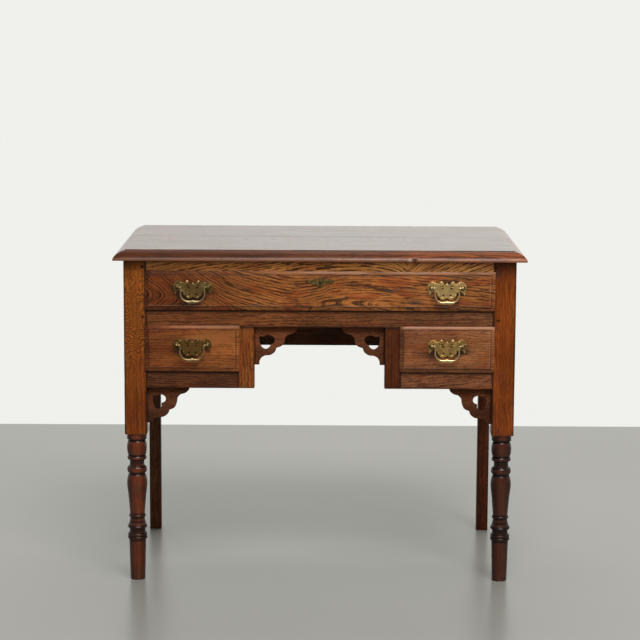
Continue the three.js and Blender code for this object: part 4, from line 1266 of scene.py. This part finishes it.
class LOWBOY_OT_drawers(Operator):
    """Builds the moulded drawer fronts"""

    bl_idname = "lowboy.drawers"
    bl_label = "Drawer fronts"

    def execute(self, context):
        settings = context.scene.lowboy_drawers
        low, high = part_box("long_drawer_front")
        nick_x, edge = 0.193, (high.z - low.z) / 2 - 2 * MM
        # On the drawer fronts, painted shade at the left and light at the right along the grain,
        # and painted highlights on the mouldings
        looks = {
            "long_drawer": dict(
                seed=71, rings=arched, ring=0.0062, figure=0.88, warp=0.008,
                streaks=(32, 380, 60), light=(0.355, 0.118, 0.026),
                deep=(0.085, 0.03, 0.011), redness=0.85,
                fades=((-0.14, -0.36, (0.46, 0.34, 0.3)), (0.0, 0.36, (0.96, 1.02, 1.15))),
                bends=(12, 30, 30), rubbed=(-0.2, 0.0, 0.7),
                stains=(
                    (0.21, -0.024, 0.03, 0.009, 0.9), (0.155, 0.003, 0.032, 0.006, 0.75),
                    (0.2, 0.008, 0.02, 0.005, 0.6), (-0.135, -0.034, 0.025, 0.005, 0.8),
                    (0.06, -0.014, 0.008, 0.008, 0.7), (0.31, -0.018, 0.02, 0.004, 0.5),
                    (nick_x, edge, 0.005, 0.005, 1.0, (0.02, 0.01, 0.006)),
                ),
            ),
            "small_drawer_left": dict(
                seed=73, rings=sawn(0.01, 0.3), ring=0.006, figure=0.5,
                light=(0.29, 0.088, 0.019), streaks=(80, 620, 60), rubbed=(-0.09, 0.0, 0.3),
                stains=((0.04, 0.024, 0.06, 0.022, 0.4, (0.45, 0.17, 0.05)),),
                fades=((0.06, -0.11, (0.68, 0.6, 0.55)),),
            ),
            "small_drawer_right": dict(
                seed=75, rings=sawn(-0.02, 0.3), ring=0.006, figure=0.5,
                light=(0.235, 0.083, 0.03), streaks=(80, 620, 60), rubbed=(-0.11, -0.09, 0.6),
                fades=((-0.02, 0.05, (1.22, 1.27, 1.24)),), stains=(),
            ),
        }
        for drawer, look in looks.items():
            node = f"{drawer}_front"
            low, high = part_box(node)
            made = self.field(settings, low, high)
            if drawer == "long_drawer":
                slice_along(made, 0, 0.188, 0.2, 2 * MM)
                nick = Vector((nick_x + 0.001, low.y, high.z))
                dent(made, nick, 6 * MM, Vector((0, 0, -1.8 * MM)))
                made = self.with_keyhole(made)
            merge_into(made, self.rear(node))
            # Painted shadow of each plate and bail, set down and to the left, with old wax and
            # dirt, lies round each handle's plate
            stains = list(look.pop("stains"))
            for handle, owner in HANDLES.items():
                if owner == drawer:
                    x, _, z = pivot_of(handle) - (low + high) / 2 - Vector((2, 0, 7)) * MM
                    stains.append((x, z, 0.056, 0.033, 0.35, (0.04, 0.02, 0.012)))
                    z -= 3 * MM
                    stains.append((x, z, 0.042, 0.029, 1.3, (0.014, 0.008, 0.005)))
            # The sunk part is painted shade on the lip's sides and back
            material = oak(
                f"{node}_oak", (low, high), face="side", grime=0.75, edge=0.0008, coat=0.2,
                sunk=(low.y + 3.8 * MM, low.y + 5 * MM), quirk=settings.mould_run,
                stains=stains, **look,
            )
            finish_piece(f"{drawer}_face", made, material, [node])
        return {"FINISHED"}

    def field(self, settings, low, high):
        """The lip, its moulding and the field, closed behind the lip."""
        lip_y = low.y + settings.mould_rise
        edge = mould_points(settings, settings.mould_rise, (0.52, 0.34), 8)
        levels = [(0.0, lip_y + settings.lip_thickness)]
        levels += [(inwards, lip_y - out) for inwards, out in edge]
        rings = []
        for inwards, y in levels:
            left, right = low.x + inwards, high.x - inwards
            foot, head = low.z + inwards, high.z - inwards
            rings.append([(left, y, foot), (right, y, foot), (right, y, head), (left, y, head)])
        made = stacked_rings(rings)
        soften(made, 0.35 * MM, 2, 26)
        slice_along(made, 0, low.x, high.x, 16 * MM)
        slice_along(made, 2, low.z, high.z, 20 * MM)
        wander(made, 0.22 * MM, 14.0, 2)
        return made

    def with_keyhole(self, made):
        """Cuts the keyhole, a little larger than the plate's."""
        low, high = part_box("escutcheon")
        middle = Vector((0, low.y, (low.z + high.z) / 2))
        slot = new_box(
            middle + Vector((-1.3 * MM, -0.015, -6.8 * MM)), middle + Vector((1.3 * MM, 0.015, 0))
        )
        for part in (rod(middle, 30 * MM, 24, 2.4 * MM), slot):
            made = cut_away(made, part)
        return made

    def rear(self, node):
        """The drawer front behind its lip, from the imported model, with its sockets."""
        made = bmesh.new()
        made.from_mesh(frame["nodes"][node].data)
        bmesh.ops.remove_doubles(made, verts=made.verts, dist=0.00001)
        bmesh.ops.bisect_plane(
            made, geom=whole(made), plane_co=(0, FRONT_Y - 0.2 * MM, 0), plane_no=(0, -1, 0),
            clear_outer=True,
        )
        bmesh.ops.holes_fill(made, edges=[edge for edge in made.edges if edge.is_boundary])
        return made


class LOWBOY_OT_handles(Operator):
    """Builds the backplates, posts, nuts and bails"""

    bl_idname = "lowboy.handles"
    bl_label = "Handles"

    def execute(self, context):
        settings = context.scene.lowboy_brass
        # Painted light: the handles at the right are brighter and those at the left darker, as
        # the light falls from the right
        polish_and_light_by_handle = {"long_left": -0.14, "long_right": 0.5, "small_left": -0.3, "small_right": 0.28}
        for index, (handle, polish_and_light) in enumerate(polish_and_light_by_handle.items()):
            pivot = pivot_of(handle)
            self.plate(settings, handle, pivot, polish_and_light, index)
            for hand, _ in SIDES:
                self.post(f"{handle}_post_{hand}", handle, hand, pivot, polish_and_light, index)
            self.bail(handle, pivot, polish_and_light, index)
            self.nuts(handle)
        return {"FINISHED"}

    def plate(self, settings, handle, pivot, polish_and_light, index):
        """The pierced plate with a chased line and raised knobs."""
        node = f"{handle}_backplate"
        low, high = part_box(node)
        half, drop = (high.x - low.x) / 2, 27 * MM

        def put(across, up):
            return (pivot.x + across * half, pivot.z + up * drop)

        outline = closed_outline(both_halves(PLATE_EDGE), lambda point: put(*point), 5)
        holes = [self.slot(side, put) for _, side in SIDES]
        for _, side in SIDES:
            for across, up in PLATE_HOLES:
                x, z = put(side * across, up)
                turns = [math.tau * i / 20 for i in range(20)]
                holes.append([
                    (x + 2.3 * MM * math.cos(t), z + 2.3 * MM * math.sin(t)) for t in turns
                ])
        made = pierced([outline, *holes], (low, high), settings.rounding)
        ridge = settings.ridge
        add_line(made, inset(outline, 1.9 * MM), low.y - ridge * 0.7, ridge)
        knobs = [(side * x, up, size) for _, side in SIDES for x, up, size in PLATE_KNOBS]
        for across, up, size in knobs + [(0, 0.24, 2.0)]:
            x, z = put(across, up)
            boss(made, Vector((x, low.y, z)), size * MM, size * MM * 0.42)
        slice_along(made, 0, low.x, high.x, 3 * MM)
        slice_along(made, 2, low.z, high.z, 3 * MM)
        for vert in made.verts:
            across = (vert.co.x - pivot.x) / half
            vert.co.y += 0.5 * MM * across * across - 0.25 * MM
        pits = [(x, z - 1 * MM, 7.5 * MM) for x, z in (put(-0.79, 0), put(0.79, 0))]
        tint = (1.38, 1.28, 1.24) if handle.startswith("long") else (1.28, 1.08, 0.88)
        paint = brass(f"{node}_brass", low.y - 0.1 * MM, polish_and_light, index, pits=pits, tint=tint)
        finish_piece(f"plate_{handle}", made, paint, [node], sharp=50)

    def slot(self, side, put):
        """A curved slot in the plate, under the small scroll on one side."""
        middle = smooth_run(PLATE_SLOT, 4)
        ahead, behind = [], []
        for i, (across, up) in enumerate(middle):
            wide = 0.034 * math.sin(math.pi * (i + 0.6) / (len(middle) + 0.2)) ** 0.5
            ahead.append(put(side * across, up + wide))
            behind.append(put(side * (across - wide * 0.5), up - wide))
        return ahead + behind[::-1]

    def post(self, node, handle, hand, pivot, polish_and_light, index):
        """The post that carries one end of the bail."""
        low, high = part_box(node)
        reach = pivot.y - low.y
        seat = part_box(f"{handle}_backplate")[0].y
        shank, flange, neck = 2.4 * MM, 5.6 * MM, 2.9 * MM
        profile = [(0, high.y), (shank, high.y), (shank, seat), (flange, seat - 0.1 * MM)]
        profile += [
            (flange - flange * 0.5 * (1 - math.cos(t)), seat - 0.5 * MM - 1.4 * MM * math.sin(t))
            for t in (0.2, 0.6, 1.0, 1.3)
        ]
        profile += [(neck, seat - 2.3 * MM), (neck, pivot.y + reach * 0.72)]
        start, steps = math.radians(44), 8
        for i in range(1, steps + 1):
            t = start + (math.pi - start) * i / steps
            profile.append((max(0.0, reach * math.sin(t)), pivot.y + reach * math.cos(t)))
        made = bmesh.new()
        centre = Vector(((low.x + high.x) / 2, 0, (low.z + high.z) / 2))
        spun(made, profile, centre, (0, 1, 0), 28)
        paint = brass(f"{node}_brass", seat - 3 * MM, polish_and_light * 0.6 - 0.55, index + 5)
        finish_piece(f"post_{handle}_{hand}", made, paint, [node], sharp=50)

    def bail(self, handle, pivot, polish_and_light, index):
        """The swinging loop, which swells to a flat grip."""
        node = f"{handle}_bail"
        low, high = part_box(node)
        pin, arm, drop = (high.x - low.x) / 2, 26.4 * MM, 33.2 * MM
        half = [(a * arm, b * drop) for a, b in BAIL_PATH]
        half = [(pin, 0.0), ((pin + half[0][0]) / 2, 0.0)] + half
        path = half + [(-x, z) for x, z in reversed(half[:-1])]
        wire, grip, thick, grip_half = 1.8 * MM, 3.7 * MM, 2.4 * MM, 17 * MM

        def swell(x, z):
            if z < -drop / 2:
                return math.cos(min(1.0, abs(x) / grip_half) * math.pi / 2)
            return 0.0

        line = [path[0]] + smooth_run(path, 6)
        points = [(x, 0.0, z, wire + (grip - wire) * swell(x, z)) for x, z in line]
        made = curve_mesh(
            [points], flat=False, bevel_depth=1.0, bevel_resolution=5, use_fill_caps=True
        )
        for vert in made.verts:
            share = swell(vert.co.x, vert.co.z)
            vert.co.y *= (wire + (thick - wire) * share) / (wire + (grip - wire) * share)
        bmesh.ops.translate(made, verts=made.verts, vec=pivot)
        paint = brass(
            f"{node}_brass", pivot.y + 1 * MM, polish_and_light - 0.1, index + 9, pivot.z - drop,
            (0.7, 0.53, 0.27),
        )
        finish_piece(f"bail_{handle}", made, paint, [node], sharp=60)

    def nuts(self, handle):
        """A square nut on the end of each post, inside the drawer."""
        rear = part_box(f"{HANDLES[handle]}_front")[1].y
        half = Vector((4.6 * MM, 1.6 * MM, 4.6 * MM))
        made = bmesh.new()
        for hand, side in SIDES:
            low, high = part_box(f"{handle}_post_{hand}")
            middle = Vector(((low.x + high.x) / 2, rear + 1.7 * MM, (low.z + high.z) / 2))
            nut = new_box(middle - half, middle + half)
            soften(nut, 0.5 * MM, 2)
            turn = Matrix.Rotation(math.radians(18 * side), 3, "Y")
            bmesh.ops.rotate(nut, verts=nut.verts, cent=middle, matrix=turn)
            merge_into(made, nut)
        material = iron(f"{handle}_nut_iron")
        finish_piece(f"nuts_{handle}", made, material, [f"{handle}_backplate"], "lock_iron")


class LOWBOY_OT_escutcheon(Operator):
    """Builds the keyhole plate and its pins"""

    bl_idname = "lowboy.escutcheon"
    bl_label = "Keyhole plate"

    def execute(self, context):
        low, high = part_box("escutcheon")
        half, tall = (high.x - low.x) / 2, (high.z - low.z) / 2
        middle = (low.z + high.z) / 2

        def put(point):
            return (point[0] * half, middle + point[1] * tall)

        outline = closed_outline(both_halves(ESCUTCHEON_EDGE), put, 5)
        radius, slot, foot = 2.1 * MM, 1.0 * MM, 6.5 * MM
        start = math.asin(slot / radius)
        turns = [-math.pi / 2 + start + (math.tau - 2 * start) * i / 18 for i in range(19)]
        keyhole = [(radius * math.cos(t), middle + radius * math.sin(t)) for t in turns]
        keyhole += [(-slot, middle - foot), (slot, middle - foot)]
        made = pierced([outline, keyhole], (low, high), 0.35 * MM)
        add_line(made, outline, low.y - 0.2 * MM, 0.3 * MM, -1.5 * MM)
        for _, side in SIDES:
            x, z = put((side * 0.72, 0.16))
            boss(made, Vector((x, low.y, z)), 1.6 * MM, 0.8 * MM)
        paint = brass("escutcheon_brass", low.y - 0.1 * MM, -0.12, 17)
        finish_piece("keyhole_plate", made, paint, ["escutcheon"], sharp=50)
        return {"FINISHED"}


class LOWBOY_OT_pegs(Operator):
    """Builds the pegs of the mortise and tenon joints"""

    bl_idname = "lowboy.pegs"
    bl_label = "Pegs"

    def execute(self, context):
        radius, proud, depth = 3.6 * MM, 0.5 * MM, 6 * MM
        spots = ((-0.3962, 0.7214), (-0.396, 0.6084), (0.3985, 0.6034), (0.3935, 0.7225))
        for index, (x, z) in enumerate(spots):
            low = Vector((x - radius, FRONT_Y - proud, z - radius))
            high = Vector((x + radius, FRONT_Y + depth, z + radius))
            made = rod((low + high) / 2, high.y - low.y, 9, radius, 3.4 * MM)
            soften(made, 0.5 * MM, 2, 50)
            wander(made, 0.3 * MM, 90, index)
            name = f"peg_{index + 1}"
            material = oak(
                f"{name}_oak", (low, high), axis="y", seed=81 + index, ring=0.002,
                light=(0.06, 0.018, 0.006), deep=(0.03, 0.01, 0.005), grime=0.8, edge=0.002,
            )
            leg = "front_leg_left" if x < 0 else "front_leg_right"
            finish_piece(name, made, material, [leg], "leg_oak")
        return {"FINISHED"}


class LOWBOY_OT_stage(Operator):
    """Sets up the floor, the lamps and the camera"""

    bl_idname = "lowboy.stage"
    bl_label = "Stage"

    def execute(self, context):
        settings = context.scene.lowboy_stage
        context.scene.view_settings.view_transform = "Standard"
        self.floor(settings)
        self.world(context, settings)
        self.lamps(settings)
        self.camera(context, settings)
        return {"FINISHED"}

    def floor(self, settings):
        """A plain pale floor, which ends a little behind the lowboy."""
        half_width, half_depth, back = 8, 4.3, 1.53
        made = bmesh.new()
        bmesh.ops.create_grid(made, x_segments=1, y_segments=1, size=1.0)
        bmesh.ops.scale(made, vec=(half_width, half_depth, 1), verts=made.verts)
        bmesh.ops.translate(made, vec=(0, back - half_depth, 0), verts=made.verts)
        s = Shader(bpy.data.materials.new("floor_paint"))
        place = s.node("ShaderNodeTexCoord")["Object"]
        cloud = s.noise(place, (1.4, 1.4, 1.4), 4.0, 0.6)["Fac"]
        colour = s.mix(cloud, shade(settings.floor, 0.95), shade(settings.floor, 1.05))
        mesh = as_mesh("floor", made)
        mesh.materials.append(
            s.surface(Base_Color=colour, Roughness=0.28, Specular_IOR_Level=0.4)
        )
        floor = as_object("floor", mesh)

    def world(self, context, settings):
        """The room: a pale backdrop for the eye, dimmer in gloss towards the front."""
        context.scene.world = bpy.data.worlds.new("room")
        s = Shader(context.scene.world)
        path = s.node("ShaderNodeLightPath")
        depth = s.split(s.node("ShaderNodeTexCoord")["Generated"])[1]
        strength = depth.rise(-0.5, 0.4, 0.24).most(path["Is Camera Ray"])
        seen = path["Is Camera Ray"]
        for other in ("Is Glossy Ray", "Is Transmission Ray"):
            seen = seen.most(path[other])
        lights = [
            s.node("ShaderNodeBackground", None, {"Color": colour, "Strength": power})[0]
            for colour, power in (
                ((1.0, 0.99, 0.97, 1.0), settings.fill), (rgba(tuple(settings.wall)), strength),
            )
        ]
        mixed = s.node("ShaderNodeMixShader", None, {0: seen, 1: lights[0], 2: lights[1]})[0]
        s.node("ShaderNodeOutputWorld", None, {"Surface": mixed})

    def lamps(self, settings):
        """Large soft lamps in front and behind, and a smaller one from the right."""
        for name, place, aim, size, share in (
            ("main_lamp", (0.8, -3.6, 5.2), (0, -0.1, 0.5), (3.2, 2.2), 1),
            ("side_lamp", (3.2, -2.2, 1.6), (0, -0.1, 0.6), (1.0, 1.6), 0.09),
            ("back_lamp", (0, 2.6, 4.6), (0, -0.3, 0), (4.0, 2.0), 0.4),
        ):
            lamp = bpy.data.lights.new(name, "AREA")
            lamp.shape = "RECTANGLE"
            lamp.size, lamp.size_y = size
            lamp.energy = settings.key * share
            holder = as_object(name, lamp)
            holder.location = place
            look = Vector(aim) - Vector(place)
            holder.rotation_euler = look.to_track_quat("-Z", "Y").to_euler()
            holder.visible_glossy = name == "main_lamp"

    def camera(self, context, settings):
        """The photograph's view."""
        camera = bpy.data.cameras.new("camera")
        camera.lens = settings.lens
        camera.sensor_width = 36.0
        holder = as_object("camera", camera)
        tilt = Matrix.Rotation(math.pi / 2 - settings.pitch, 4, "X")
        roll = Matrix.Rotation(settings.roll, 4, "Z")
        place = Matrix.Translation((0.6 * MM, -settings.distance, settings.height))
        holder.matrix_world = place @ tilt @ roll
        context.scene.camera = holder


class LOWBOY_PT_panel(Panel):
    """Lists the pieces of the lowboy"""

    bl_idname = "LOWBOY_PT_panel"
    bl_label = "Lowboy"
    bl_space_type = "VIEW_3D"
    bl_region_type = "UI"
    bl_category = "Lowboy"

    def draw(self, context):
        for name in SETTINGS:
            group = getattr(context.scene, name)
            box = self.layout.box()
            for key in group.__annotations__:
                box.prop(group, key)
        for operator in OPERATORS:
            self.layout.operator(operator.bl_idname)


OPERATORS = (
    LOWBOY_OT_stage, LOWBOY_OT_top, LOWBOY_OT_front, LOWBOY_OT_legs, LOWBOY_OT_case,
    LOWBOY_OT_brackets, LOWBOY_OT_drawers, LOWBOY_OT_handles, LOWBOY_OT_escutcheon,
    LOWBOY_OT_pegs,
)
SETTINGS = {
    "lowboy_top": TopSettings,
    "lowboy_wood": WoodSettings,
    "lowboy_legs": LegSettings,
    "lowboy_drawers": DrawerSettings,
    "lowboy_brass": BrassSettings,
    "lowboy_stage": StageSettings,
}
CLASSES = (*SETTINGS.values(), *OPERATORS, LOWBOY_PT_panel)


def register():
    """Registers the settings, the operators and the panel."""
    for made in CLASSES:
        bpy.utils.register_class(made)
    for name, group in SETTINGS.items():
        setattr(bpy.types.Scene, name, PointerProperty(type=group))


def unregister():
    """Takes back what register did."""
    for name in SETTINGS:
        delattr(bpy.types.Scene, name)
    for made in reversed(CLASSES):
        bpy.utils.unregister_class(made)


def main():
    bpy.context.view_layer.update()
    register()
    for operator in OPERATORS:
        module, name = operator.bl_idname.split(".")
        result = getattr(getattr(bpy.ops, module), name)()
        if result != {"FINISHED"}:
            raise RuntimeError(f"{operator.bl_idname} did not finish")


if __name__ == "__main__":
    main()
